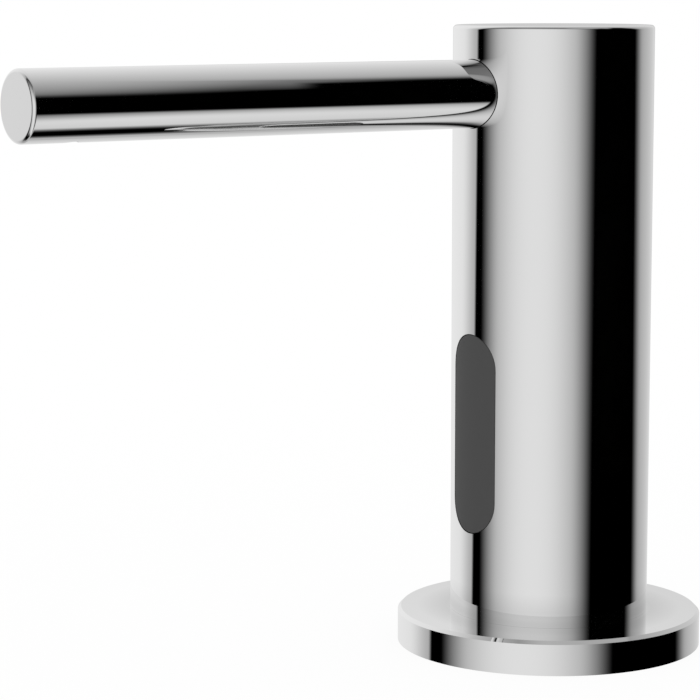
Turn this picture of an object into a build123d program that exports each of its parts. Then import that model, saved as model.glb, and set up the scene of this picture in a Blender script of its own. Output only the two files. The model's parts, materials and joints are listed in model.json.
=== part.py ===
from build123d import *
import math
import os

# Deck-mounted sensor soap dispenser, in millimetres.
# Z is up, the deck surface is Z = 0, the column stands on the origin and the spout points along -Y.

# Fits and small allowances
overrun = 1.0
fixed_clearance = 0.02
slide_clearance = 0.05
loose_clearance = 0.35
seam_gap = 0.1

# Column: a drawn brass cup with its closed end up
column_diameter = 45.0
column_wall = 2.0
overall_height = 140.4
column_top_thickness = 2.4
column_edge_radius = 0.8

# Base flange
flange_diameter = 69.1
flange_thickness = 7.7
flange_chamfer = 0.8
flange_floor = 3.0
flange_screw_count = 3
flange_screw_diameter = 4.0
flange_screw_head_diameter = 7.6
flange_screw_head_height = 2.2
flange_screw_length = 9.0

# Deck gasket, in a groove under the flange
gasket_mean_diameter = 58.0
gasket_width = 3.8
gasket_thickness = 1.5

# Base plug, which the column screws onto
plug_height = 12.0
plug_lip_height = 5.0

# Mounting shank and what clamps the deck
shank_diameter = 24.0
shank_wall = 2.5
shank_below_deck = 55.0
deck_thickness_at_rest = 21.0
washer_diameter = 44.0
rubber_washer_thickness = 3.0
steel_washer_thickness = 2.0
nut_across_flats = 36.0
nut_thickness = 8.0
nut_chamfer = 1.2

# End cap of the shank, with the hose spigot and the lead grommet
end_cap_rim_diameter = 22.0
end_cap_rim_thickness = 2.0
end_cap_spigot_length = 8.0
spigot_diameter = 6.0
spigot_length = 14.0
spigot_collar_diameter = 7.4
spigot_collar_thickness = 1.6
spigot_bore = 3.0
spigot_nipple_length = 8.0
spigot_end_chamfer = 0.5
grommet_diameter = 6.4
grommet_bore = 3.2
grommet_flange_diameter = 8.4
grommet_flange_thickness = 1.2

# Spout
spout_diameter = 15.0
spout_wall = 1.5
spout_reach = 133.9
spout_drop = 14.9
spout_tip_radius = 0.8
spout_tip_thickness = 2.0
spout_stub_diameter = 14.0
spout_stub_depth = 8.5
spout_seam = 0.2
saddle_diameter = 20.0
saddle_depth = 4.5
spout_nut_across_flats = 18.0
spout_nut_thickness = 3.5

# Outlet, in the underside of the spout near its tip
outlet_setback = 12.0
outlet_diameter = 4.0
insert_diameter = 3.8
insert_bore = 2.4
insert_recess = 0.8
insert_length = 4.4
nozzle_block_length = 16.0
nozzle_passage_diameter = 1.8
nozzle_nipple_length = 7.0
valve_flange_thickness = 0.6
valve_bill_diameter = 2.2
valve_bill_length = 2.6
valve_wall = 0.4
valve_slit = 0.15

# Soap tubes
outlet_tube_diameter = 5.0
outlet_tube_bore = 3.0
outlet_rise = 10.0
outlet_turn_share = 0.42
outlet_back_share = 0.363
outlet_bend_shares = (0.4, 0.28, 0.7)
inlet_tube_diameter = 6.0
inlet_tube_bore = 4.0

# Sensor window
window_width = 14.8
window_length = 44.8
window_center_height = 49.7
window_gap = 0.1
window_ledge = 1.1
window_seat_depth = 1.2
lens_inset = 0.03

# Sensor behind the window
housing_width = 26.0
housing_length = 50.0
housing_back_share = 0.561
housing_front_gap = 0.1
sensor_gasket_thickness = 0.5
sensor_gasket_border = 1.5
sensor_pocket_depth = 3.2
sensor_rim = 2.0
sensor_board_thickness = 1.6
sensor_board_gap = 0.2
sensor_pair_spacing = 24.0
optic_diameter = 5.0
optic_length = 3.3
indicator_diameter = 3.0
indicator_length = 3.4
board_screw_diameter = 2.0
board_screw_head_diameter = 3.8
board_screw_head_height = 1.1
board_screw_grip = 2.3
board_screw_inset = 2.4

# Places inside the column, as shares of its bore radius
motor_place_share = 0.341
pump_place_share = 0.2195
riser_place_shares = (-0.6585, 0.0244)
pillar_place_shares = ((0.78, 0.39), (-0.78, 0.39), (0.537, -0.361), (-0.537, -0.361))
lead_place_shares = (0.322, -0.415)
motor_radius_share = 0.595
pump_radius_share = 0.61
chassis_clearance = 0.4

# Pillars and brackets that carry the pump, the motor and the boards
pillar_diameter = 4.0
pillar_stud_diameter = 2.5
pillar_stud_length = 4.8
lower_pillar_length = 21.0
upper_pillar_length = 32.0
bracket_thickness = 2.0
tab_width = 24.0
tab_height = 8.0
spacer_height = 2.5
top_screw_head_diameter = 4.5
top_screw_head_height = 1.6
top_screw_grip = 6.0

# Gear pump
pump_cover_thickness = 3.0
pump_body_height = 13.0
gear_teeth = 10
gear_module = 0.7
gear_pressure_angle = 28.0
gear_addendum_share = 0.8
gear_dedendum_share = 1.15
gear_backlash = 0.12
gear_width = 8.0
gear_side_clearance = 0.1
gear_tip_clearance = 0.1
idler_pin_diameter = 2.0
idler_pin_hold = 1.9
port_diameter = 4.4
port_hole_diameter = 2.4
pump_nipple_length = 4.0
riser_boss_diameter = 6.0
riser_bore = 2.0
riser_nipple_length = 5.0
pump_screw_diameter = 2.5
pump_screw_head_diameter = 4.5
pump_screw_head_height = 1.8
pump_screw_ring_share = 0.784
seal_diameter = 7.0
seal_height = 3.0

# Motor
motor_length = 31.0
motor_front_boss_diameter = 6.0
motor_rear_boss_diameter = 15.8
motor_rear_boss_height = 2.8
motor_edge_chamfer = 0.8
motor_shaft_diameter = 2.3
motor_shaft_in_can = 12.0
motor_screw_spacing = 16.0
motor_screw_grip = 3.0
motor_screw_head_height = 1.2
motor_lead_spacing = 8.0
motor_lead_diameter = 1.2

# Control board
board_thickness = 1.6
board_front_gap = 0.5
capacitor_diameter = 8.0
capacitor_height = 11.5
chip_side = 7.0
chip_height = 1.2
connector_length = 7.0
connector_width = 4.6
connector_height = 5.5
sensor_lead_diameter = 1.2
sensor_lead_rise = 5.3
sensor_lead_bend_shares = (0.8,)

# Sizes that follow
column_radius = column_diameter / 2
bore_radius = column_radius - column_wall
chassis_radius = bore_radius - chassis_clearance
flange_radius = flange_diameter / 2
shank_radius = shank_diameter / 2
shank_bore_radius = shank_radius - shank_wall
spout_radius = spout_diameter / 2
spout_bore_radius = spout_radius - spout_wall
stub_radius = spout_stub_diameter / 2
stub_end = bore_radius - spout_stub_depth
spout_axis_height = overall_height - spout_drop
outlet_distance = spout_reach - outlet_setback
seat_radius = column_radius - window_seat_depth
opening_width = window_width + 2 * window_gap
opening_length = window_length + 2 * window_gap
ledge_width = opening_width - 2 * window_ledge
ledge_length = opening_length - 2 * window_ledge
housing_back = housing_back_share * bore_radius
housing_radius = bore_radius - sensor_gasket_thickness - 2 * fixed_clearance
pocket_floor = housing_back + sensor_pocket_depth
board_back = pocket_floor - sensor_board_thickness

# Heights of the stack inside the column, from the flange up
plug_bottom = flange_floor
plug_top = plug_bottom + plug_height
plug_lip = plug_top - plug_lip_height
lower_bracket_bottom = plug_top + lower_pillar_length
lower_bracket_top = lower_bracket_bottom + bracket_thickness
pump_body_bottom = lower_bracket_bottom - pump_body_height
pump_cover_bottom = pump_body_bottom - pump_cover_thickness
gear_bottom = pump_body_bottom + gear_side_clearance
gear_top = gear_bottom + gear_width
pump_cavity_top = gear_top + gear_side_clearance
upper_bracket_bottom = lower_bracket_top + upper_pillar_length
upper_bracket_top = upper_bracket_bottom + bracket_thickness
board_bottom = upper_bracket_top + spacer_height
board_top = board_bottom + board_thickness

# Places in plan
motor_y = motor_place_share * bore_radius
pump_y = pump_place_share * bore_radius
motor_radius = motor_radius_share * bore_radius
pump_radius = pump_radius_share * bore_radius
gear_pitch_radius = gear_teeth * gear_module / 2
gear_tip_radius = gear_pitch_radius + gear_addendum_share * gear_module
gear_root_radius = gear_pitch_radius - gear_dedendum_share * gear_module
idler_y = motor_y - 2 * gear_pitch_radius
mesh_y = motor_y - gear_pitch_radius
riser = tuple(share * bore_radius for share in riser_place_shares)
pillars = [(x_share * bore_radius, y_share * bore_radius) for x_share, y_share in pillar_place_shares]
lead_place = tuple(share * bore_radius for share in lead_place_shares)
inlet_distance = shank_bore_radius - inlet_tube_diameter / 2 - loose_clearance
inlet_x = math.sqrt(inlet_distance**2 - mesh_y**2)
grommet_place = (-inlet_x, -mesh_y)

# Heights under the deck
clamp_top = -deck_thickness_at_rest
steel_washer_top = clamp_top - rubber_washer_thickness
nut_top = steel_washer_top - steel_washer_thickness
shank_bottom = -shank_below_deck
end_cap_bottom = shank_bottom - end_cap_rim_thickness

quarter_turn = 90
third_turn = 120
hexagon_sides = 6


def disc(radius, bottom, top, x=0, y=0):
    """A vertical cylinder between two heights."""
    stand = (Align.CENTER, Align.CENTER, Align.MIN)
    return Pos(x, y, bottom) * Cylinder(radius, top - bottom, align=stand)


def ring(outer, inner, bottom, top, x=0, y=0):
    """A vertical tube between two heights."""
    return disc(outer, bottom, top, x, y) - disc(inner, bottom - overrun, top + overrun, x, y)


def rod(radius, near, far, x, z):
    """A level cylinder that runs along -Y, from one distance in front of the axis to another."""
    face = Plane.XZ * Circle(radius)
    return Pos(x, -near, z) * extrude(face, amount=far - near)


def stadium(width, length, near, far):
    """An upright round-ended slot at the window, from one distance in front of the axis to another."""
    face = Plane.XZ * SlotOverall(length, width, rotation=quarter_turn)
    return Pos(0, -near, window_center_height) * extrude(face, amount=far - near)


def block(x_range, y_range, z_range):
    """A box from its ranges along the three axes."""
    size = [high - low for low, high in (x_range, y_range, z_range)]
    corner = (Align.MIN, Align.MIN, Align.MIN)
    return Pos(x_range[0], y_range[0], z_range[0]) * Box(*size, align=corner)


def hexagon(across_flats, bottom, top):
    """An upright hexagonal bar."""
    face = RegularPolygon(across_flats / 2, hexagon_sides, major_radius=False)
    return Pos(0, 0, bottom) * extrude(face, amount=top - bottom)


def top_circle(shape):
    """The highest round edge of a shape."""
    return shape.edges().filter_by(GeomType.CIRCLE).sort_by(Axis.Z)[-1]


def around(place, count):
    """Copies of a shape, evenly spaced about the column's axis."""
    return Compound(children=[Rot(0, 0, step * 360 / count) * place for step in range(count)])


# Body of the dispenser


def make_column_shell():
    """Cup with the stepped window and the hole for the spout."""
    outer = disc(column_radius, flange_floor, overall_height)
    outer = fillet(top_circle(outer), column_edge_radius)
    shell = outer - disc(bore_radius, flange_floor - overrun, overall_height - column_top_thickness)
    seat = ring(column_radius + overrun, seat_radius, 0, overall_height)
    shell -= stadium(opening_width, opening_length, housing_back, column_radius + overrun) & seat
    shell -= stadium(ledge_width, ledge_length, housing_back, column_radius + overrun)
    shell -= rod(stub_radius + slide_clearance, 0, column_radius + overrun, 0, spout_axis_height)
    return shell


def flange_screw_place():
    """Distance of the flange screws from the axis, midway between the shank and the column."""
    return (shank_radius + bore_radius) / 2 + loose_clearance


def make_base_flange():
    """Disc with a recess for the column, a chamfered rim and a groove for the gasket."""
    flange = disc(flange_radius, 0, flange_thickness)
    flange = chamfer(top_circle(flange), flange_chamfer)
    flange -= disc(column_radius + slide_clearance, flange_floor, flange_thickness + overrun)
    flange -= disc(shank_radius + slide_clearance, -overrun, flange_floor + overrun)
    groove_middle = gasket_mean_diameter / 2
    groove_half = gasket_width / 2 + seam_gap
    flange -= ring(groove_middle + groove_half, groove_middle - groove_half, -overrun, gasket_thickness)
    flange -= around(flange_screw(fixed_clearance), flange_screw_count)
    return flange


def flange_screw(clearance):
    """Countersunk screw that enters the base plug from under the flange."""
    shaft_radius = flange_screw_diameter / 2 + clearance
    head_radius = flange_screw_head_diameter / 2 + clearance
    place = flange_screw_place()
    shaft = disc(shaft_radius, seam_gap, flange_screw_length + clearance, 0, place)
    head_middle = seam_gap + flange_screw_head_height / 2
    head = Pos(0, place, head_middle) * Cone(head_radius, shaft_radius, flange_screw_head_height)
    if clearance:
        head += disc(head_radius, -overrun, seam_gap, 0, place)
    return shaft + head


def make_flange_screws():
    return around(flange_screw(0), flange_screw_count)


def make_deck_gasket():
    middle = gasket_mean_diameter / 2
    half = gasket_width / 2
    return ring(middle + half, middle - half, 0, gasket_thickness)


def make_base_plug():
    """Round plug with the shank's thread below and a lip above it."""
    plug = disc(bore_radius - slide_clearance, plug_bottom, plug_top)
    plug -= disc(shank_radius + fixed_clearance, plug_bottom - overrun, plug_lip)
    plug -= disc(shank_bore_radius, plug_bottom, plug_top + overrun)
    plug -= around(flange_screw(fixed_clearance), flange_screw_count)
    for x, y in pillars:
        stud_radius = pillar_stud_diameter / 2 + fixed_clearance
        plug -= disc(stud_radius, plug_top - pillar_stud_length - fixed_clearance, plug_top + overrun, x, y)
    return plug


# Under the deck


def make_mounting_shank():
    return ring(shank_radius, shank_bore_radius, shank_bottom, plug_lip)


def make_shank_end_cap():
    """Plug in the shank's lower end, with a hole for the spigot and one for the grommet."""
    cap = disc(end_cap_rim_diameter / 2, end_cap_bottom, shank_bottom)
    cap += disc(shank_bore_radius - slide_clearance, shank_bottom, shank_bottom + end_cap_spigot_length)
    cap_top = shank_bottom + end_cap_spigot_length + overrun
    cap -= disc(inlet_tube_bore / 2 + fixed_clearance, end_cap_bottom - overrun, cap_top, inlet_x, mesh_y)
    cap -= disc(grommet_diameter / 2 + fixed_clearance, end_cap_bottom - overrun, cap_top, *grommet_place)
    return cap


def make_inlet_spigot():
    """Hose spigot with a collar under the end cap and a nipple above it."""
    collar_bottom = end_cap_bottom - spigot_collar_thickness
    tip = collar_bottom - spigot_length
    outside = disc(spigot_diameter / 2, tip, collar_bottom, inlet_x, mesh_y)
    tip_edge = outside.edges().filter_by(GeomType.CIRCLE).sort_by(Axis.Z)[0]
    outside = chamfer(tip_edge, spigot_end_chamfer)
    outside += disc(spigot_collar_diameter / 2, collar_bottom, end_cap_bottom, inlet_x, mesh_y)
    nipple_top = shank_bottom + end_cap_spigot_length + spigot_nipple_length
    outside += disc(inlet_tube_bore / 2, end_cap_bottom, nipple_top, inlet_x, mesh_y)
    return outside - disc(spigot_bore / 2, tip - overrun, nipple_top + overrun, inlet_x, mesh_y)


def make_lead_grommet():
    top = shank_bottom + end_cap_spigot_length
    outside = disc(grommet_diameter / 2, end_cap_bottom, top, *grommet_place)
    flange_bottom = end_cap_bottom - grommet_flange_thickness
    outside += disc(grommet_flange_diameter / 2, flange_bottom, end_cap_bottom, *grommet_place)
    return outside - disc(grommet_bore / 2, flange_bottom - overrun, top + overrun, *grommet_place)


def make_rubber_washer():
    return ring(washer_diameter / 2, shank_radius + loose_clearance, steel_washer_top, clamp_top)


def make_steel_washer():
    return ring(washer_diameter / 2, shank_radius + loose_clearance, nut_top, steel_washer_top)


def make_mounting_nut():
    """Hexagon nut with its lower corners chamfered."""
    bottom = nut_top - nut_thickness
    nut = hexagon(nut_across_flats, bottom, nut_top)
    corner_radius = nut_across_flats / math.sqrt(3)
    trim = nut_blank(corner_radius, bottom)
    return nut & trim - disc(shank_radius + slide_clearance, bottom - overrun, nut_top + overrun)


def nut_blank(corner_radius, bottom):
    """Round blank that trims the corners of a nut at its lower face."""
    blank = disc(corner_radius, bottom, nut_top)
    lower_edge = blank.edges().filter_by(GeomType.CIRCLE).sort_by(Axis.Z)[0]
    return chamfer(lower_edge, nut_chamfer)


# Spout


def make_spout_tube():
    """Closed tube with its back cut to the column and a thinner stub that enters it."""
    outside = rod(spout_radius, 0, spout_reach, 0, spout_axis_height)
    tip_edge = outside.edges().filter_by(GeomType.CIRCLE).sort_by(Axis.Y)[0]
    outside = fillet(tip_edge, spout_tip_radius)
    outside -= disc(column_radius + spout_seam, 0, overall_height + overrun)
    stub_start = column_radius + spout_seam + overrun
    outside += rod(stub_radius, stub_end, stub_start, 0, spout_axis_height)
    outside -= rod(spout_bore_radius, 0, spout_reach - spout_tip_thickness, 0, spout_axis_height)
    hole_bottom = spout_axis_height - spout_radius - overrun
    return outside - disc(outlet_diameter / 2, hole_bottom, spout_axis_height, 0, -outlet_distance)


def make_spout_saddle():
    """Washer with its front face curved to the column's bore."""
    back = bore_radius - saddle_depth
    saddle = rod(saddle_diameter / 2, back, column_radius, 0, spout_axis_height)
    saddle &= disc(bore_radius - fixed_clearance, 0, overall_height)
    return saddle - rod(stub_radius + fixed_clearance, 0, column_radius, 0, spout_axis_height)


def make_spout_nut():
    back = bore_radius - saddle_depth
    face = Plane.XZ * RegularPolygon(spout_nut_across_flats / 2, hexagon_sides, major_radius=False)
    nut = Pos(0, -(back - spout_nut_thickness), spout_axis_height) * extrude(face, amount=spout_nut_thickness)
    return nut - rod(stub_radius + fixed_clearance, 0, column_radius, 0, spout_axis_height)


insert_bottom = spout_axis_height - spout_radius + insert_recess
insert_top = insert_bottom + insert_length
valve_top = insert_top + valve_flange_thickness
block_back = outlet_distance - nozzle_block_length / 2
block_front = outlet_distance + nozzle_block_length / 2


def make_nozzle_block():
    """Round block in the spout's end, drilled from the tube down to the valve."""
    body = rod(spout_bore_radius - slide_clearance, block_back, block_front, 0, spout_axis_height)
    nipple_radius = outlet_tube_bore / 2 - fixed_clearance
    body += rod(nipple_radius, block_back - nozzle_nipple_length, block_back, 0, spout_axis_height)
    passage_radius = nozzle_passage_diameter / 2
    passage_start = block_back - nozzle_nipple_length - overrun
    body -= rod(passage_radius, passage_start, outlet_distance, 0, spout_axis_height)
    hole_bottom = spout_axis_height - spout_radius
    body -= disc(passage_radius, hole_bottom, spout_axis_height, 0, -outlet_distance)
    insert_radius = insert_diameter / 2 + fixed_clearance
    return body - disc(insert_radius, hole_bottom, valve_top, 0, -outlet_distance)


def make_nozzle_insert():
    return ring(insert_diameter / 2, insert_bore / 2, insert_bottom, insert_top, 0, -outlet_distance)


def make_duckbill_valve():
    """Rubber cup with a flange on the insert and a slit in its closed lower end."""
    flange = disc(insert_diameter / 2, insert_top, valve_top, 0, -outlet_distance)
    bill_bottom = insert_top - valve_bill_length
    bill = disc(valve_bill_diameter / 2, bill_bottom, insert_top, 0, -outlet_distance)
    inner_radius = valve_bill_diameter / 2 - valve_wall
    inside = disc(inner_radius, bill_bottom + valve_wall, valve_top + overrun, 0, -outlet_distance)
    half_slit = valve_slit / 2
    slit_y = (-outlet_distance - inner_radius, -outlet_distance + inner_radius)
    slit = block((-half_slit, half_slit), slit_y, (bill_bottom - overrun, insert_top))
    return flange + bill - inside - slit


# Soap tubes


def outlet_route():
    """Corners of the outlet tube, from the pump's nipple to the nozzle block."""
    rise_top = board_top + outlet_rise
    turn_height = rise_top + outlet_turn_share * (spout_axis_height - rise_top)
    back_y = outlet_back_share * bore_radius
    return [
        (riser[0], riser[1], lower_bracket_top + seam_gap),
        (riser[0], riser[1], rise_top),
        (0, back_y, turn_height),
        (0, back_y, spout_axis_height),
        (0, -block_back, spout_axis_height),
    ]


def bend_radii(route, reach_shares):
    """Radius of each bend, from its share of the shorter run beside it."""
    points = [Vector(*point) for point in route]
    radii = []
    for before, corner, after, reach in zip(points, points[1:], points[2:], reach_shares):
        into = corner - before
        out = after - corner
        half_turn = math.radians(into.get_angle(out)) / 2
        radii.append(reach * min(into.length, out.length) / math.tan(half_turn))
    return radii


def bent_tube(name, route, reach_shares, outer, bore):
    """Tube along straight runs and tangent arcs, with its bends and its volume printed."""
    radii = bend_radii(route, reach_shares)
    path = FilletPolyline(*route, radius=radii)
    section_plane = Plane(path @ 0, z_dir=path % 0)
    section = Circle(outer / 2)
    if bore:
        section -= Circle(bore / 2)
    tube = sweep(section_plane * section, path=path)
    expected = section.area * path.length
    print(name, "bends", [round(radius, 1) for radius in radii])
    print(name, "volume over section times length", round(tube.volume / expected, 4))
    return tube


def make_outlet_tube():
    route = outlet_route()
    return bent_tube("outlet_tube", route, outlet_bend_shares, outlet_tube_diameter, outlet_tube_bore)


def make_inlet_tube():
    bottom = shank_bottom + end_cap_spigot_length + fixed_clearance
    outer = inlet_tube_diameter / 2
    return ring(outer, inlet_tube_bore / 2 + fixed_clearance, bottom, pump_cover_bottom, inlet_x, mesh_y)


# Sensor


def make_sensor_lens():
    """Dark window, curved with the column and glued on the ledge."""
    shell = ring(column_radius - lens_inset, seat_radius + fixed_clearance, 0, overall_height)
    return stadium(window_width, window_length, housing_back, column_radius + overrun) & shell


def make_sensor_gasket():
    """Flat rubber ring round the ledge opening, bent to the bore."""
    outer_width = ledge_width + 2 * sensor_gasket_border
    outer_length = ledge_length + 2 * sensor_gasket_border
    outline = stadium(outer_width, outer_length, housing_back, column_radius)
    outline -= stadium(ledge_width, ledge_length, housing_back - overrun, column_radius + overrun)
    outside = bore_radius - fixed_clearance
    return outline & ring(outside, outside - sensor_gasket_thickness, 0, overall_height)


def make_sensor_housing():
    """Moulded block that fills the ledge opening and holds the sensor board in its back."""
    half_width = housing_width / 2
    half_length = housing_length / 2
    z_range = (window_center_height - half_length, window_center_height + half_length)
    body = block((-half_width, half_width), (-column_radius, -housing_back), z_range)
    body &= disc(housing_radius, 0, overall_height)
    boss_width = ledge_width - 2 * housing_front_gap
    boss_length = ledge_length - 2 * housing_front_gap
    boss = stadium(boss_width, boss_length, pocket_floor, column_radius)
    body += boss & disc(seat_radius - housing_front_gap, 0, overall_height)
    body -= sensor_pocket(0, housing_back - overrun, pocket_floor)
    for z in optic_heights():
        body -= rod(optic_diameter / 2 + seam_gap, housing_back, column_radius, 0, z)
    body -= rod(indicator_diameter / 2 + seam_gap, housing_back, column_radius, 0, window_center_height)
    return body - sensor_board_screws(fixed_clearance)


def sensor_pocket(margin, near, far):
    """Box inside the rim of the sensor housing, smaller by a margin all round."""
    half_width = housing_width / 2 - sensor_rim - margin
    half_length = housing_length / 2 - sensor_rim - margin
    z_range = (window_center_height - half_length, window_center_height + half_length)
    return block((-half_width, half_width), (-far, -near), z_range)


def optic_heights():
    """Heights of the emitter and the receiver."""
    half = sensor_pair_spacing / 2
    return (window_center_height + half, window_center_height - half)


def sensor_board_screws(clearance):
    """Four screws near the corners of the sensor board."""
    side = housing_width / 2 - sensor_rim - board_screw_inset
    end = housing_length / 2 - sensor_rim - board_screw_inset
    radius = board_screw_diameter / 2 + clearance
    screws = []
    for x in (-side, side):
        for z in (window_center_height - end, window_center_height + end):
            shaft = rod(radius, board_back, pocket_floor + board_screw_grip + clearance, x, z)
            head = rod(board_screw_head_diameter / 2, board_back - board_screw_head_height, board_back, x, z)
            screws.append(shaft + head)
    return Compound(children=screws)


def make_sensor_board():
    board = sensor_pocket(sensor_board_gap, board_back, pocket_floor)
    side = housing_width / 2 - sensor_rim - board_screw_inset
    end = housing_length / 2 - sensor_rim - board_screw_inset
    hole_radius = board_screw_diameter / 2 + slide_clearance
    for x in (-side, side):
        for z in (window_center_height - end, window_center_height + end):
            board -= rod(hole_radius, 0, column_radius, x, z)
    return board


def optic(diameter, length, height):
    """Domed component that stands on the sensor board and looks out of the window."""
    far = pocket_floor + length
    dome = Pos(0, -far, height) * Sphere(diameter / 2)
    body = rod(diameter / 2, pocket_floor, far, 0, height)
    return body + dome


def make_ir_emitter():
    return optic(optic_diameter, optic_length, optic_heights()[0])


def make_ir_receiver():
    return optic(optic_diameter, optic_length, optic_heights()[1])


def make_indicator_lamp():
    return optic(indicator_diameter, indicator_length, window_center_height)


def make_sensor_board_screws():
    return sensor_board_screws(0)


def make_sensor_lead():
    """Lead from the sensor board, back and then up to the control board."""
    x, y = lead_place
    start_height = upper_bracket_bottom - tab_height - sensor_lead_rise
    route = [(x, -board_back, start_height), (x, y, start_height), (x, y, board_bottom)]
    return bent_tube("sensor_lead", route, sensor_lead_bend_shares, sensor_lead_diameter, 0)


# Pillars and brackets


def pillar_set(bottom, top):
    """Four pillars with a stud below and a threaded hole above."""
    made = []
    for x, y in pillars:
        pillar = disc(pillar_diameter / 2, bottom, top, x, y)
        hole_radius = pillar_stud_diameter / 2 + fixed_clearance
        pillar -= disc(hole_radius, top - top_screw_grip - overrun, top + overrun, x, y)
        pillar += disc(pillar_stud_diameter / 2, bottom - pillar_stud_length, bottom, x, y)
        made.append(pillar)
    return Compound(children=made)


def make_lower_pillars():
    return pillar_set(plug_top, lower_bracket_bottom)


def make_upper_pillars():
    return pillar_set(lower_bracket_top, upper_bracket_bottom)


def bracket_plate(bottom, tab_bottom):
    """Round plate, cut straight in front, with a tab that presses on the sensor housing."""
    top = bottom + bracket_thickness
    plate = disc(chassis_radius, bottom, top)
    z_range = (bottom - overrun, top + overrun)
    plate -= block((-column_radius, column_radius), (-column_radius, -housing_back), z_range)
    half = tab_width / 2
    tab_y = (-housing_back, bracket_thickness - housing_back)
    plate += block((-half, half), tab_y, (tab_bottom, tab_bottom + tab_height))
    for x, y in pillars:
        plate -= disc(pillar_stud_diameter / 2 + slide_clearance, bottom - overrun, top + overrun, x, y)
    return plate


def make_pump_bracket():
    """Lower bracket, which carries the pump under it and the motor on it."""
    bottom = lower_bracket_bottom - overrun
    top = lower_bracket_top + overrun
    plate = bracket_plate(lower_bracket_bottom, lower_bracket_top)
    plate -= disc(motor_front_boss_diameter / 2 + slide_clearance, bottom, top, 0, motor_y)
    plate -= disc(outlet_tube_bore / 2 + slide_clearance, bottom, top, *riser)
    for x, y in pump_screw_places():
        plate -= disc(pump_screw_diameter / 2 + fixed_clearance, bottom, top, x, y)
    return plate - motor_screws(fixed_clearance)


def make_upper_bracket():
    """Upper bracket, which centres the motor's rear boss and carries the control board."""
    bottom = upper_bracket_bottom - overrun
    top = upper_bracket_top + overrun
    plate = bracket_plate(upper_bracket_bottom, upper_bracket_bottom - tab_height)
    plate -= disc(motor_rear_boss_diameter / 2 + slide_clearance, bottom, top, 0, motor_y)
    plate -= disc(outlet_tube_diameter / 2 + loose_clearance, bottom, top, *riser)
    return plate - disc(sensor_lead_diameter / 2 + loose_clearance, bottom, top, *lead_place)


# Gear pump


def pump_screw_places():
    """Four screws on a ring about the middle of the pump."""
    reach = pump_screw_ring_share * pump_radius / math.sqrt(2)
    return [(x * reach, pump_y + y * reach) for x in (-1, 1) for y in (-1, 1)]


def make_pump_cover():
    cover = disc(pump_radius, pump_cover_bottom, pump_body_bottom, 0, pump_y)
    nipple_bottom = pump_cover_bottom - pump_nipple_length
    cover += disc(inlet_tube_bore / 2, nipple_bottom, pump_cover_bottom, inlet_x, mesh_y)
    port_top = pump_body_bottom + overrun
    cover -= disc(port_hole_diameter / 2, nipple_bottom - overrun, port_top, inlet_x, mesh_y)
    pin_bottom = pump_body_bottom - idler_pin_hold - fixed_clearance
    cover -= disc(idler_pin_diameter / 2 + fixed_clearance, pin_bottom, pump_body_bottom, 0, idler_y)
    for x, y in pump_screw_places():
        cover -= disc(pump_screw_diameter / 2 + slide_clearance, pump_cover_bottom, pump_body_bottom, x, y)
    return cover


def make_pump_body():
    """Body with the gear cavity, a port on each side of the mesh and the riser to the outlet tube."""
    body = disc(pump_radius, pump_body_bottom, lower_bracket_bottom, 0, pump_y)
    body += disc(riser_boss_diameter / 2, pump_body_bottom, lower_bracket_bottom, *riser)
    half_boss = riser_boss_diameter / 2
    bridge_y = (riser[1] - half_boss, riser[1] + half_boss)
    body += block((riser[0], 0), bridge_y, (pump_body_bottom, lower_bracket_bottom))
    nipple_top = lower_bracket_top + riser_nipple_length
    body += disc(outlet_tube_bore / 2 - fixed_clearance, lower_bracket_bottom, nipple_top, *riser)
    cavity_bottom = pump_body_bottom - overrun
    cavity_radius = gear_tip_radius + gear_tip_clearance
    for y in (motor_y, idler_y):
        body -= disc(cavity_radius, cavity_bottom, pump_cavity_top, 0, y)
    for x in (-inlet_x, inlet_x):
        body -= disc(port_diameter / 2, cavity_bottom, pump_cavity_top, x, mesh_y)
    passage_height = (pump_body_bottom + pump_cavity_top) / 2
    start = Vector(-inlet_x, mesh_y, passage_height)
    way = Vector(riser[0], riser[1], passage_height) - start
    passage = extrude(Plane(start, z_dir=way) * Circle(riser_bore / 2), amount=way.length)
    body -= passage
    body -= disc(riser_bore / 2, passage_height, nipple_top + overrun, *riser)
    shaft_radius = motor_shaft_diameter / 2 + slide_clearance
    body -= disc(shaft_radius, pump_cavity_top - overrun, lower_bracket_bottom + overrun, 0, motor_y)
    seal_bottom = lower_bracket_bottom - seal_height
    body -= disc(seal_diameter / 2, seal_bottom, lower_bracket_bottom + overrun, 0, motor_y)
    pin_top = pump_cavity_top + idler_pin_hold + fixed_clearance
    body -= disc(idler_pin_diameter / 2 + fixed_clearance, pump_cavity_top - overrun, pin_top, 0, idler_y)
    screw_radius = pump_screw_diameter / 2 + slide_clearance
    for x, y in pump_screw_places():
        body -= disc(screw_radius, cavity_bottom, lower_bracket_bottom + overrun, x, y)
    return body


def make_pump_screws():
    """Four long screws from under the cover up into the bracket."""
    made = []
    for x, y in pump_screw_places():
        head_bottom = pump_cover_bottom - pump_screw_head_height
        head = disc(pump_screw_head_diameter / 2, head_bottom, pump_cover_bottom, x, y)
        made.append(head + disc(pump_screw_diameter / 2, pump_cover_bottom, lower_bracket_top, x, y))
    return Compound(children=made)


def involute(angle):
    """The involute function of a pressure angle in radians."""
    return math.tan(angle) - angle


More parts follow.
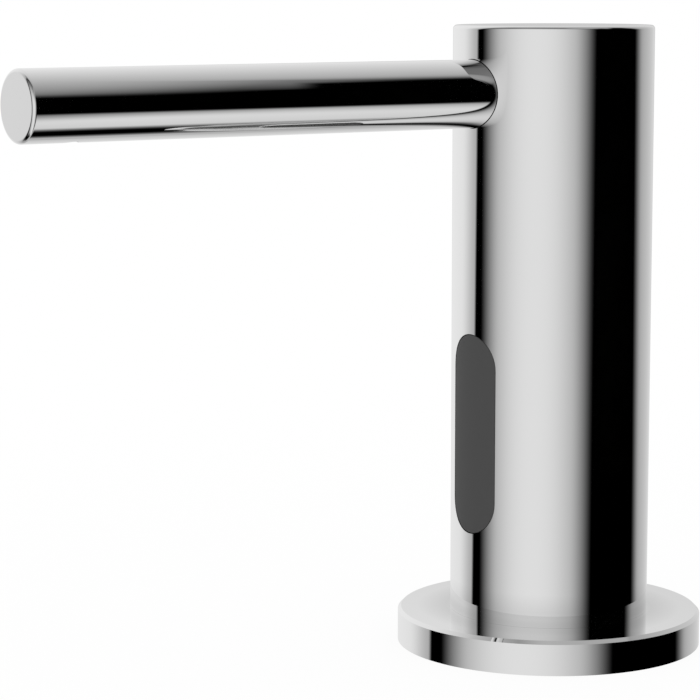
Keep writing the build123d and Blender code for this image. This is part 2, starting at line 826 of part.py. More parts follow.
def gear_outline():
    """Corners of an involute gear with a tooth centred on +Y."""
    pressure = math.radians(gear_pressure_angle)
    base_radius = gear_pitch_radius * math.cos(pressure)
    half_tooth = (math.pi * gear_module - gear_backlash) / 4 / gear_pitch_radius
    flank_shares = (0.0, 0.2, 0.45, 0.7, 1.0)
    radii = [base_radius + share * (gear_tip_radius - base_radius) for share in flank_shares]
    flank = [(gear_root_radius, half_tooth + involute(pressure))]
    for radius in radii:
        at_radius = math.acos(base_radius / radius)
        flank.append((radius, half_tooth + involute(pressure) - involute(at_radius)))
    corners = []
    for tooth in range(gear_teeth):
        middle = math.pi / 2 + tooth * math.tau / gear_teeth
        right = [(radius, middle - half) for radius, half in flank]
        left = [(radius, middle + half) for radius, half in reversed(flank)]
        corners += [(radius * math.cos(turn), radius * math.sin(turn)) for radius, turn in right + left]
    return corners


def gear(turn, bore, y):
    """Spur gear, turned about its axis by an angle in degrees."""
    blank = make_face(Polyline(*gear_outline(), close=True))
    blank -= Circle(bore / 2)
    return Pos(0, y, gear_bottom) * Rot(0, 0, turn) * extrude(blank, amount=gear_width)


def make_drive_gear():
    """Gear on the motor shaft, with a tooth towards the idler."""
    return gear(2 * quarter_turn, motor_shaft_diameter + 2 * fixed_clearance, motor_y)


def make_idler_gear():
    """Gear on the idler pin, with a gap towards the drive gear."""
    half_pitch = 2 * quarter_turn / gear_teeth
    return gear(half_pitch, idler_pin_diameter + 2 * slide_clearance, idler_y)


def make_idler_pin():
    bottom = pump_body_bottom - idler_pin_hold
    return disc(idler_pin_diameter / 2, bottom, pump_cavity_top + idler_pin_hold, 0, idler_y)


def make_shaft_seal():
    bottom = lower_bracket_bottom - seal_height
    outer = seal_diameter / 2 - fixed_clearance
    inner = motor_shaft_diameter / 2 + slide_clearance
    return ring(outer, inner, bottom, lower_bracket_bottom - 2 * fixed_clearance, 0, motor_y)


# Motor


def motor_screws(clearance):
    """Two countersunk screws that hold the motor's face to the bracket."""
    made = []
    shaft_radius = pump_screw_diameter / 2 + clearance
    head_radius = pump_screw_head_diameter / 2 + clearance
    bottom = lower_bracket_bottom
    top = lower_bracket_top + motor_screw_grip + clearance
    for x in (-motor_screw_spacing / 2, motor_screw_spacing / 2):
        head_middle = bottom + motor_screw_head_height / 2
        head = Pos(x, motor_y, head_middle) * Cone(head_radius, shaft_radius, motor_screw_head_height)
        made.append(head + disc(shaft_radius, bottom, top, x, motor_y))
    return Compound(children=made)


def make_motor_screws():
    return motor_screws(0)


def make_motor_can():
    """Round motor with a boss at each end and a hole for its shaft."""
    top = lower_bracket_top + motor_length
    can = disc(motor_radius, lower_bracket_top, top, 0, motor_y)
    can = chamfer(can.edges().filter_by(GeomType.CIRCLE), motor_edge_chamfer)
    can += disc(motor_front_boss_diameter / 2, lower_bracket_bottom + seam_gap, lower_bracket_top, 0, motor_y)
    can += disc(motor_rear_boss_diameter / 2, top, top + motor_rear_boss_height, 0, motor_y)
    shaft_top = lower_bracket_top + motor_shaft_in_can + seam_gap
    shaft_radius = motor_shaft_diameter / 2 + slide_clearance
    can -= disc(shaft_radius, lower_bracket_bottom, shaft_top, 0, motor_y)
    return can - motor_screws(fixed_clearance)


def make_motor_shaft():
    bottom = gear_bottom + gear_side_clearance
    return disc(motor_shaft_diameter / 2, bottom, lower_bracket_top + motor_shaft_in_can, 0, motor_y)


def make_motor_leads():
    """Two short leads from the motor's rear face to the control board."""
    bottom = lower_bracket_top + motor_length + motor_rear_boss_height
    half = motor_lead_spacing / 2
    radius = motor_lead_diameter / 2
    return Compound(children=[disc(radius, bottom, board_bottom, x, motor_y) for x in (-half, half)])


# Control board


def make_control_board():
    board = disc(chassis_radius, board_bottom, board_top)
    cut_y = (-column_radius, board_front_gap - housing_back)
    below = board_bottom - overrun
    above = board_top + overrun
    board -= block((-column_radius, column_radius), cut_y, (below, above))
    board -= disc(outlet_tube_diameter / 2 + loose_clearance, below, above, *riser)
    for x, y in pillars:
        board -= disc(pillar_stud_diameter / 2 + slide_clearance, below, above, x, y)
    return board


def make_board_spacers():
    outer = pillar_diameter / 2
    inner = pillar_stud_diameter / 2 + slide_clearance
    return Compound(children=[ring(outer, inner, upper_bracket_top, board_bottom, x, y) for x, y in pillars])


def make_board_screws():
    """Four screws through the board, its spacers and the upper bracket into the pillars."""
    made = []
    for x, y in pillars:
        head = disc(top_screw_head_diameter / 2, board_top, board_top + top_screw_head_height, x, y)
        bottom = upper_bracket_bottom - top_screw_grip
        made.append(head + disc(pillar_stud_diameter / 2, bottom, board_top, x, y))
    return Compound(children=made)


def make_board_capacitor():
    x = lead_place[0] + connector_width / 2
    return disc(capacitor_diameter / 2, board_top, board_top + capacitor_height, x, idler_y)


def make_board_chip():
    half = chip_side / 2
    x_range = (-half, half)
    y_range = (-housing_back + connector_width / 2, -housing_back + connector_width / 2 + chip_side)
    return block(x_range, y_range, (board_top, board_top + chip_height))


def make_board_connectors():
    """Two headers at the back of the board, for the supply and for the pump."""
    half = connector_width / 2
    back = chassis_radius - connector_width
    y_range = (back - connector_width, back)
    z_range = (board_top, board_top + connector_height)
    half_length = connector_length / 2
    middle = half_length + half / 2
    made = []
    for x in (-middle, middle):
        made.append(block((x - half_length, x + half_length), y_range, z_range))
    return Compound(children=made)


parts = {
    "column_shell": make_column_shell,
    "base_flange": make_base_flange,
    "flange_screws": make_flange_screws,
    "deck_gasket": make_deck_gasket,
    "base_plug": make_base_plug,
    "mounting_shank": make_mounting_shank,
    "shank_end_cap": make_shank_end_cap,
    "inlet_spigot": make_inlet_spigot,
    "lead_grommet": make_lead_grommet,
    "rubber_washer": make_rubber_washer,
    "steel_washer": make_steel_washer,
    "mounting_nut": make_mounting_nut,
    "spout_tube": make_spout_tube,
    "spout_saddle": make_spout_saddle,
    "spout_nut": make_spout_nut,
    "nozzle_block": make_nozzle_block,
    "nozzle_insert": make_nozzle_insert,
    "duckbill_valve": make_duckbill_valve,
    "outlet_tube": make_outlet_tube,
    "inlet_tube": make_inlet_tube,
    "sensor_lens": make_sensor_lens,
    "sensor_gasket": make_sensor_gasket,
    "sensor_housing": make_sensor_housing,
    "sensor_board": make_sensor_board,
    "sensor_board_screws": make_sensor_board_screws,
    "ir_emitter": make_ir_emitter,
    "ir_receiver": make_ir_receiver,
    "indicator_lamp": make_indicator_lamp,
    "sensor_lead": make_sensor_lead,
    "lower_pillars": make_lower_pillars,
    "upper_pillars": make_upper_pillars,
    "pump_bracket": make_pump_bracket,
    "upper_bracket": make_upper_bracket,
    "pump_cover": make_pump_cover,
    "pump_body": make_pump_body,
    "pump_screws": make_pump_screws,
    "drive_gear": make_drive_gear,
    "idler_gear": make_idler_gear,
    "idler_pin": make_idler_pin,
    "shaft_seal": make_shaft_seal,
    "motor_can": make_motor_can,
    "motor_shaft": make_motor_shaft,
    "motor_screws": make_motor_screws,
    "motor_leads": make_motor_leads,
    "control_board": make_control_board,
    "board_spacers": make_board_spacers,
    "board_screws": make_board_screws,
    "board_capacitor": make_board_capacitor,
    "board_chip": make_board_chip,
    "board_connectors": make_board_connectors,
}

os.makedirs("parts", exist_ok=True)
for name, make in parts.items():
    solid = make()
    export_step(solid, os.path.join("parts", name + ".step"))
print(len(parts), "parts written")
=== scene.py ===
import json

import bpy
import numpy as np
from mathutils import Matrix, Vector


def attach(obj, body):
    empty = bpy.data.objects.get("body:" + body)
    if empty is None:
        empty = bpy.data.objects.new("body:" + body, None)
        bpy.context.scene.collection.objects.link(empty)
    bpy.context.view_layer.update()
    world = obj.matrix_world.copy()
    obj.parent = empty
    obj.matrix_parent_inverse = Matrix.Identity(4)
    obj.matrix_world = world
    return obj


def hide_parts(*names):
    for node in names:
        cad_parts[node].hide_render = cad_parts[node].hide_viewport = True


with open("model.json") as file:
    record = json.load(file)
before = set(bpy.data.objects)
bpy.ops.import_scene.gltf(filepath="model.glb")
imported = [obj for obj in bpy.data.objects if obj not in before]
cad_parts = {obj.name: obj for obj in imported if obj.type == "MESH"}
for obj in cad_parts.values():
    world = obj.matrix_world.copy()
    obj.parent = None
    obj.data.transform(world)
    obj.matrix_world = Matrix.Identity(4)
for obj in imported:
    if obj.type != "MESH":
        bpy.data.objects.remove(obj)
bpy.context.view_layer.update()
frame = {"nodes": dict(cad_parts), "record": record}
print("frame loaded:", len(frame["nodes"]), "nodes")

# sizes are in millimetres, and the scene is in metres
millimetre = 0.001
metre = 1000.0
white = (1, 1, 1, 1)
bodyName = "dispenser"


def hexColour(text):
    # each pair of hex digits as a share of 255, then the sRGB curve undone
    shares = np.array([int(text[i:i + 2], 16) for i in (1, 3, 5)]) / 255
    linear = np.where(shares <= 0.04045, shares / 12.92, ((shares + 0.055) / 1.055) ** 2.4)
    return (*linear.tolist(), 1.0)


def addNode(tree, kind, inputs=(), **settings):
    # One node with its settings. Its inputs go by name or in their order, and each is a value, the output
    # that feeds it, or the node whose first output does.
    node = tree.nodes.new("ShaderNode" + kind)
    for name, value in settings.items():
        setattr(node, name, value)
    for name, value in inputs.items() if isinstance(inputs, dict) else enumerate(inputs):
        if isinstance(value, bpy.types.Node):
            value = value.outputs[0]
        if isinstance(value, bpy.types.NodeSocket):
            tree.links.new(value, node.inputs[name])
        else:
            node.inputs[name].default_value = value
    return node


def startMaterial(name):
    # an empty material, its tree, and the place on the piece that its patterns read
    material = bpy.data.materials.new(name)
    material.use_nodes = True
    tree = material.node_tree
    tree.nodes.clear()
    return material, tree, addNode(tree, "TexCoord").outputs["Object"]


def finishMaterial(material, surface):
    addNode(material.node_tree, "OutputMaterial", {"Surface": surface})
    return material


def finishTwoTone(material, look, tone, spread, grain, gloss, relief, depth, **shine):
    # The tone leads from shade to colour, the grain moves the roughness by the two ends of the gloss,
    # and the relief stands up by the depth.
    tree = material.node_tree
    colour = addNode(tree, "ValToRGB", {"Fac": tone})
    for element, name, side in zip(colour.color_ramp.elements, ("shade", "colour"), (-1, 1)):
        element.position = 0.5 + side * spread
        element.color = hexColour(look[name])
    rough = addNode(tree, "MapRange", (grain, 0.0, 1.0, *[look["roughness"] + end for end in gloss]))
    bump = addNode(tree, "Bump", {
        "Height": relief, "Strength": look["relief"], "Distance": depth * millimetre})
    shader = addNode(tree, "BsdfPrincipled", {
        "Base Color": colour, "Roughness": rough, "Normal": bump, **shine})
    return finishMaterial(material, shader)


def onCircle(angles):
    return np.stack([np.cos(angles), np.sin(angles)], axis=1)


def fullTurn(cells):
    return np.linspace(-np.pi, np.pi, cells + 1)


def unitVector(azimuth, elevation):
    a, e = np.radians(azimuth), np.radians(elevation)
    return np.cos(e) * np.cos(a), np.cos(e) * np.sin(a), np.sin(e)


def unit(vectors):
    return vectors / np.linalg.norm(vectors, axis=-1, keepdims=True)


def between(start, end, cells):
    # even steps from one set of points to the other
    share = np.linspace(0, 1, cells + 1).reshape(-1, *[1] * np.ndim(start))
    return np.array(start) * (1 - share) + np.array(end) * share


def sheetCells(points, normals, keep=None):
    # the cells between neighbouring rows and columns of a grid, with their corner normals
    near, far = slice(None, -1), slice(1, None)
    corners = ((near, near), (far, near), (far, far), (near, far))
    cells = np.stack([points[c] for c in corners], axis=2)
    cellNormals = np.stack([normals[c] for c in corners], axis=2)
    kept = np.ones(cells.shape[:2], bool) if keep is None else keep
    return cells[kept], cellNormals[kept]


def buildObject(name, sheets, materials):
    # Corners that meet become one point, a cell that closes on a pole becomes a triangle,
    # and a cell is turned over where its face disagrees with its normals.
    # A sheet may carry a third entry, the number of its material.
    cells = np.concatenate([s[0] for s in sheets])
    normals = np.concatenate([s[1] for s in sheets])
    finish = np.concatenate([np.full(len(s[0]), s[2] if len(s) > 2 else 0) for s in sheets])
    facing = np.cross(cells[:, 2] - cells[:, 0], cells[:, 3] - cells[:, 1])
    turned = (facing * normals.sum(1)).sum(1) < 0
    cells[turned] = cells[turned, ::-1]
    normals[turned] = normals[turned, ::-1]
    flat = np.round(cells.reshape(-1, 3), 6) + 0.0
    points, index = np.unique(flat, axis=0, return_inverse=True)
    index = index.reshape(-1, 4)
    used = index != np.roll(index, -1, axis=1)
    used[used.sum(1) < 3] = False
    loops = index[used]
    counts = used.sum(1)
    finish = finish[counts > 0]
    counts = counts[counts > 0]
    mesh = bpy.data.meshes.new(name)
    mesh.vertices.add(len(points))
    mesh.vertices.foreach_set("co", (points * millimetre).ravel())
    mesh.loops.add(len(loops))
    mesh.loops.foreach_set("vertex_index", loops.astype(np.int32))
    mesh.polygons.add(len(counts))
    mesh.polygons.foreach_set("loop_start", (np.cumsum(counts) - counts).astype(np.int32))
    mesh.polygons.foreach_set("use_smooth", np.ones(len(counts), bool))
    for material in materials:
        mesh.materials.append(material)
    mesh.polygons.foreach_set("material_index", finish.astype(np.int32))
    mesh.update(calc_edges=True)
    mesh.validate()
    mesh.normals_split_custom_set(normals[used].tolist())
    built = bpy.data.objects.new(name, mesh)
    bpy.context.scene.collection.objects.link(built)
    return built


def makePiece(name, sheets, finishNames, node, body=bodyName):
    # the finished piece, on its body, in the place of its CAD node
    piece = buildObject(name, sheets, [made[finish] for finish in finishNames])
    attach(piece, body)
    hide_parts(node)
    print("piece", name, len(piece.data.polygons), "faces")


def lathe(profile, profileNormals, angles, centre=(0.0, 0.0), facing=None):
    # A profile of (radius, height) points carried round an upright axis. A radius or height may change
    # with the angle. One normal may serve the whole profile, and a flat side has one direction, its facing.
    radius = np.stack([np.broadcast_to(r, angles.shape) for r, h in profile])[..., None]
    height = np.stack([np.broadcast_to(h, angles.shape) for r, h in profile])[..., None]
    out, up = np.broadcast_to(np.array(profileNormals, float), (len(profile), 2)).T[:, :, None, None]
    turn = onCircle(angles)
    outward = turn if facing is None else np.broadcast_to(facing, turn.shape)
    points = np.concatenate([np.array(centre) + radius * turn, height], axis=2)
    normals = np.concatenate([out * outward, up * np.ones(height.shape)], axis=2)
    return sheetCells(points, normals)


def latheAll(runs, angles, centre=(0.0, 0.0)):
    return [lathe(profile, normals, angles, centre) for profile, normals in runs]


def straight(start, end, normal, cells=1):
    # a straight run of a profile, with one normal along it
    return between(start, end, cells), np.tile(normal, (cells + 1, 1))


def chain(corners, cells=None):
    # straight runs from corner to corner, each with its normal to the right of the way
    runs = []
    for start, end, count in zip(corners, corners[1:], cells or (1,) * len(corners)):
        ahead, up = unit(np.subtract(end, start))
        runs.append(straight(start, end, (up, -ahead), count))
    return runs


def rounded(centre, radius, startAngle, endAngle, cells=8):
    # an arc of a profile, whose normals point away from its centre
    normals = onCircle(np.radians(np.linspace(startAngle, endAngle, cells + 1)))
    return np.array(centre) + radius * normals, normals


def outsideBlocks(rows, columns, blocks):
    # the cells of a grid outside the blocks, which are left open for holes
    keep = np.ones((len(rows) - 1, len(columns) - 1), bool)
    for first, last, low, high in blocks:
        keep[first:last, low:high] = False
    return keep


def levelSheet(flat, height, facing, keep=None):
    points = np.concatenate([flat, np.full((*flat.shape[:2], 1), height)], axis=2)
    return sheetCells(points, np.broadcast_to((0.0, 0.0, facing), points.shape), keep)


def levelRing(angles, radii, height, facing, blocks=()):
    # a level ring as a grid of angle and radius
    flat = onCircle(angles)[:, None] * radii[None, :, None]
    return levelSheet(flat, height, facing, outsideBlocks(angles, radii, blocks))


def levelPatch(loop, centre, holeRadius, height, facing, rings=6):
    # rings from a block's edge to the round hole in it, and the angles of the rim's points round the hole
    edge = loop[:, 1:] * onCircle(loop[:, 0])
    away = unit(edge - centre)
    cells = levelSheet(between(edge, centre + holeRadius * away, rings), height, facing)
    return cells, np.arctan2(away[:, 1], away[:, 0])


# in pitches, as on a metric thread
thread = {"crest": 0.125, "flank": 0.3125, "root": 0.25, "depth": 0.5413}


def threadWall(radius, pitch, ends, lead, angles, centre=(0.0, 0.0)):
    # A right-hand thread. The phase is the height in pitches less the share of a turn made, and the radius
    # follows it: a crest, a falling flank, a root and a rising flank. The lines keep to the helix between
    # the two ends, where a cone of 45 degrees leads in.
    crest, flank, root, depth = thread.values()
    stops = np.cumsum([0, crest, flank, root, flank])
    drops = depth * np.array([0, 0, 1, 1, 0])
    tilt = unit(np.array([(1, 0), (flank, depth), (1, 0), (flank, -depth)]))
    low, high = ends
    pitches = np.arange(np.floor(low / pitch) - 1, np.ceil(high / pitch) + 1)[:, None]
    lines = np.stack([pitches + stops[:-1], pitches + stops[1:]], axis=2).ravel()
    tilts = np.tile(np.repeat(tilt, 2, axis=0), (len(pitches), 1))
    share = (angles - angles[0])[:, None] / (2 * np.pi)
    height = np.clip((lines + share) * pitch, low, high)
    reach = radius - pitch * np.interp((height / pitch - share) % 1, stops, drops)
    reach = np.minimum(reach, radius - lead + np.minimum(height - low, high - height))
    turn = onCircle(angles)[:, None]
    points = np.concatenate([np.array(centre) + reach[..., None] * turn, height[..., None]], axis=2)
    up = np.broadcast_to(tilts[:, 1:], (*reach.shape, 1))
    # each line is there twice, for the faces on its two sides, and the strip between the two is left out
    keep = np.zeros((len(angles) - 1, len(lines) - 1), bool)
    keep[:, ::2] = True
    return sheetCells(points, np.concatenate([tilts[:, :1] * turn, up], axis=2), keep)


def hexagonReach(across, angles):
    # a hexagon's edge at each angle: half its width over the cosine from the middle of the nearest flat
    return across / 2 / np.cos(angles % (np.pi / 3) - np.pi / 6)


def hexagonSides(cells):
    # the middle direction and the angles of each of the six flats
    for middle in np.radians(np.arange(30, 360, 60)):
        yield (np.cos(middle), np.sin(middle)), middle + np.linspace(-np.pi / 6, np.pi / 6, cells + 1)


def tubePoints(axes, radius, angles, along):
    # points of a tube: its centre, plus the radius times the cosine along depth and the sine along side,
    # plus the distance along its axis
    depth, side, axis, origin = axes
    normals = np.cos(angles)[..., None] * depth + np.sin(angles)[..., None] * side
    return origin + radius * normals + along[..., None] * axis, normals


def tubeWall(axes, radius, angles, along, blocks, inward=False, cope=None):
    # a tube's wall as a grid of angle and distance
    angleGrid, alongGrid = np.meshgrid(angles, along, indexing="ij")
    if cope is not None:
        # the first stretch leans from the cut end to the first even line
        reach, lines = cope
        lean = np.clip(1 - (alongGrid - along[0]) / (along[lines] - along[0]), 0, 1)
        alongGrid = alongGrid + (reach[:, None] - along[0]) * lean
    points, normals = tubePoints(axes, radius, angleGrid, alongGrid)
    return sheetCells(points, -normals if inward else normals, outsideBlocks(angles, along, blocks))


def blockLoop(angles, along, block):
    # the grid points round a block, in order, as (angle, distance)
    first, last, low, high = block
    bottom = [(i, low) for i in range(first, last)]
    right = [(last, j) for j in range(low, high)]
    top = [(i, high) for i in range(last, first, -1)]
    left = [(first, j) for j in range(high, low - 1, -1)]
    rows, columns = np.array(bottom + right + top + left).T
    return np.stack([angles[rows], along[columns]], axis=1)


def onTube(axes, radius, flat):
    # flat points (side, distance) carried straight back onto the tube
    return tubePoints(axes, radius, np.arcsin(flat[..., 0] / radius), flat[..., 1])


def tubeRings(axes, radius, spine, away, sizes, facing=1):
    # a sheet on the tube through rings at these distances from the spine
    rings = [onTube(axes, radius, spine + size * away) for size in sizes]
    return sheetCells(np.stack([r[0] for r in rings]), facing * np.stack([r[1] for r in rings]))


def holeRim(radius, loop, size):
    # each point of the loop looks at the nearest point of the hole's spine, and the rim lies between them
    flat = np.stack([radius * np.sin(loop[:, 0]), loop[:, 1]], axis=1)
    span = np.clip(flat[:, 1] - size["middle"], -size["halfSpan"], size["halfSpan"])
    spine = np.stack([np.zeros(len(flat)), size["middle"] + span], axis=1)
    return spine, unit(flat - spine)


def awayOnSide(axes, away):
    return away[:, :1] * axes[1] + away[:, 1:] * axes[2]


def holePatch(axes, radius, loop, rim, inward=False, rings=10):
    # rings from the block's edge to the hole's rim, on the tube
    end = np.stack([np.arcsin(rim[:, 0] / radius), rim[:, 1]], axis=1)
    turns, along = np.moveaxis(between(loop, end, rings), -1, 0)
    points, normals = tubePoints(axes, radius, turns, along)
    return sheetCells(points, -normals if inward else normals)


def holeWall(axes, spine, away, holeRadius, radii):
    # the straight wall of a hole between two radii of the tube
    points = np.stack([onTube(axes, radius, spine + holeRadius * away)[0] for radius in radii])
    return sheetCells(points, np.broadcast_to(-awayOnSide(axes, away), points.shape))


def roundedRim(axes, radius, spine, away, rimRadius, rounding, cells):
    # A quarter circle from the tube's face to a wall at the rim. The wall of a hole looks at the spine.
    # With a rounding below zero it is a piece's own rim, whose wall looks away from the spine.
    wall = -np.sign(rounding) * awayOnSide(axes, away)
    points, normals = [], []
    for turn in np.linspace(0, np.pi / 2, cells + 1):
        place, face = onTube(axes, radius, spine + (rimRadius + rounding * (1 - np.sin(turn))) * away)
        points.append(place - face * abs(rounding) * (1 - np.cos(turn)))
        normals.append(face * np.cos(turn) + wall * np.sin(turn))
    return np.stack(points), np.stack(normals)


def cutHole(axes, radius, bore, loop, size):
    # A hole through a tube's wall: what is left of the block outside and inside, a rounded edge and a wall.
    # Where it narrows at a seat, its edge, the wall down to the seat and the ledge take the second finish.
    spine, away = holeRim(radius, loop, size)
    wide, rounding = size["radius"], size["rounding"]
    narrow = size.get("ledge", wide)
    seat = size.get("seat", bore)
    second = 1 if "seat" in size else 0
    sheets = [
        holePatch(axes, radius, loop, spine + (wide + rounding) * away),
        holePatch(axes, bore, loop, spine + narrow * away, inward=True),
        (*sheetCells(*roundedRim(axes, radius, spine, away, wide, rounding, 4)), second),
        (*holeWall(axes, spine, away, wide, (radius - rounding, seat)), second),
    ]
    if "seat" in size:
        sheets.append((*tubeRings(axes, seat, spine, away, np.linspace(wide, narrow, 4)), second))
        sheets.append(holeWall(axes, spine, away, narrow, (seat, bore)))
    return sheets


def spaced(start, stops, counts):
    # even lines from the start to each stop in turn, with that many cells between
    lines = [np.array([start])]
    for stop, cells in zip(stops, counts):
        lines.append(np.linspace(lines[-1][-1], stop, cells + 1)[1:])
    return np.concatenate(lines)


def piercedTube(axes, tube, along, innerAlong, holes, cope=None):
    # a tube's outer and inner wall, with holes in the middle of its turn, each by its row of cells
    angles = fullTurn(tube["cells"])
    half, wide = tube["cells"] // 2, tube["holeCells"]
    rows = np.cumsum(tube["rows"])
    blocks = [(half - wide, half + wide, rows[k - 1], rows[k]) for k in holes]
    sheets = [
        tubeWall(axes, tube["radius"], angles, along, blocks, cope=cope),
        tubeWall(axes, tube["bore"], angles, innerAlong, blocks, inward=True),
    ]
    for block, hole in zip(blocks, holes.values()):
        sheets += cutHole(axes, tube["radius"], tube["bore"], blockLoop(angles, along, block), hole)
    return sheets


# Chromium plate on polished brass, buffed: a clear mirror, with a faint film and hairlines too fine to see
# except close up. Where the column meets the flange the plate's colour is darkened by painted shade, by
# these shares of its colour: on the flange by distance out from the corner, on the column by height.
chromePlate = {
    "colour": "#EFEFEF", "roughness": (0.01, 0.026), "film": 16.667, "filmRange": (0.35, 0.65),
    "hairline": (3.3333, 3.3333, 0.083333), "relief": 0.02, "depth": 0.02,
    "corner": (22.5, 7.7), "above": 0.05,
    "flangePaintedShade": ((0.0, 0.82), (1.0, 0.8), (7.5, 1.0)),
    "columnPaintedShade": ((0.0, 1.0), (1.0, 0.92), (2.0, 0.88), (3.5, 0.875), (7.5, 1.0)),
}


def makeChromePlate(look):
    material, tree, place = startMaterial("chromed_brass_buffed")
    film = addNode(tree, "TexNoise", {"Vector": place, "Scale": metre / look["film"], "Detail": 3.0})
    # a map range takes its value, the range it comes from and the range it goes to
    rough = addNode(tree, "MapRange", (film, *look["filmRange"], *look["roughness"]))
    stretch = addNode(tree, "Mapping", {
        "Vector": place, "Scale": [metre / size for size in look["hairline"]]})
    hairlines = addNode(tree, "TexNoise", {"Vector": stretch, "Scale": 1.0, "Detail": 2.0})
    bump = addNode(tree, "Bump", {
        "Height": hairlines, "Strength": look["relief"], "Distance": look["depth"] * millimetre})
    height = addNode(tree, "SeparateXYZ", [place]).outputs["Z"]
    inPlan = addNode(tree, "VectorMath", (place, (1, 1, 0)), operation="MULTIPLY")
    radius = addNode(tree, "VectorMath", [inPlan], operation="LENGTH").outputs["Value"]
    cornerRadius, cornerHeight = look["corner"]
    # painted shade: a ramp for each side of the corner darkens the plate's colour towards the corner
    shares = []
    for value, start, stops in (
        (radius, cornerRadius, look["flangePaintedShade"]),
        (height, cornerHeight, look["columnPaintedShade"]),
    ):
        reach = stops[-1][0]
        along = addNode(tree, "MapRange", (value, start * millimetre, (start + reach) * millimetre))
        ramp = addNode(tree, "ValToRGB", {"Fac": along})
        elements = ramp.color_ramp.elements
        while len(elements) < len(stops):
            elements.new(0.5)
        for element, (distance, share) in zip(elements, stops):
            element.position = distance / reach
            element.color = (share, share, share, 1.0)
        shares.append(ramp)
    columnFrom = (cornerHeight + look["above"]) * millimetre
    onColumn = addNode(tree, "Math", (height, columnFrom), operation="GREATER_THAN")
    # the plate's colour times the painted shade's share, the flange's below the corner height and the
    # column's above
    share = addNode(tree, "Mix", {0: onColumn, 6: shares[0], 7: shares[1]}, data_type="RGBA").outputs[2]
    colour = addNode(tree, "Mix", {
        0: 1.0, 6: hexColour(look["colour"]), 7: share},
        data_type="RGBA", blend_type="MULTIPLY").outputs[2]
    shader = addNode(tree, "BsdfPrincipled", {
        "Base Color": colour, "Metallic": 1.0, "Roughness": rough, "Normal": bump})
    return finishMaterial(material, shader)


# Infrared-pass acrylic, moulded: an even dark grey that lets no detail through and hardly mirrors.
windowAcrylic = {"colour": "#4C4C4C", "roughness": (0.45, 0.55), "haze": 6.67, "specular": 0.05}


def makeWindowAcrylic(look):
    material, tree, place = startMaterial("infrared_acrylic_moulded")
    haze = addNode(tree, "TexNoise", {"Vector": place, "Scale": metre / look["haze"], "Detail": 2.0})
    rough = addNode(tree, "MapRange", (haze, 0.0, 1.0, *look["roughness"]))
    shader = addNode(tree, "BsdfPrincipled", {
        "Base Color": hexColour(look["colour"]), "Roughness": rough, "Specular IOR Level": look["specular"]})
    return finishMaterial(material, shader)


# Silicone sealant, tooled: a dead black line in the joints.
jointSealant = {
    "colour": "#060606", "roughness": 0.8, "specular": 0.1, "ripple": 1.11, "relief": 0.3, "depth": 0.1,
}


def makeJointSealant(look):
    material, tree, place = startMaterial("silicone_sealant_tooled")
    ripple = addNode(tree, "TexNoise", {"Vector": place, "Scale": metre / look["ripple"], "Detail": 2.0})
    bump = addNode(tree, "Bump", {
        "Height": ripple, "Strength": look["relief"], "Distance": look["depth"] * millimetre})
    shader = addNode(tree, "BsdfPrincipled", {
        "Base Color": hexColour(look["colour"]), "Roughness": look["roughness"],
        "Specular IOR Level": look["specular"], "Normal": bump})
    return finishMaterial(material, shader)


# Turned metal shows fine rings and drawn bar long streaks. The rings are drawn coarser than a tool leaves
# them, so that they show. Rings are spaced and streaks are sized in millimetres.
turnedMetals = {
    # warm yellow with a satin shine
    "brass_turned": {
        "colour": "#D8B56A", "shade": "#C9A255", "roughness": 0.22, "rings": 1.571, "relief": 0.15},
    # the same yellow, a little duller along the bar
    "brass_drawn": {
        "colour": "#D6B268", "shade": "#C6A053", "roughness": 0.26, "streaks": (1.11, 1.11, 40.0),
        "relief": 0.12},
    # a cool grey with a soft shine
    "stainless_steel_turned": {
        "colour": "#C6C7C8", "shade": "#B4B5B8", "roughness": 0.28, "rings": 1.795, "relief": 0.12},
}
metalCloud = 11.11


def makeTurnedMetal(name, look):
    material, tree, place = startMaterial(name)
    if "streaks" in look:
        stretch = addNode(tree, "Mapping", {
            "Vector": place, "Scale": [metre / size for size in look["streaks"]]})
        rings = addNode(tree, "TexNoise", {"Vector": stretch, "Scale": 1.0, "Detail": 2.0})
    else:
        # a wave of scale 1 makes 20 radians in a metre
        rings = addNode(tree, "TexWave", {
            "Vector": place, "Scale": 2 * np.pi / 20 * metre / look["rings"],
            "Distortion": 0.6, "Detail": 1.0}, bands_direction="Z").outputs["Fac"]
    cloud = addNode(tree, "TexNoise", {"Vector": place, "Scale": metre / metalCloud, "Detail": 4.0})
    return finishTwoTone(
        material, look, tone=cloud, spread=0.2, grain=rings, gloss=(0.0, 0.12), relief=rings,
        depth=0.03, Metallic=1.0)


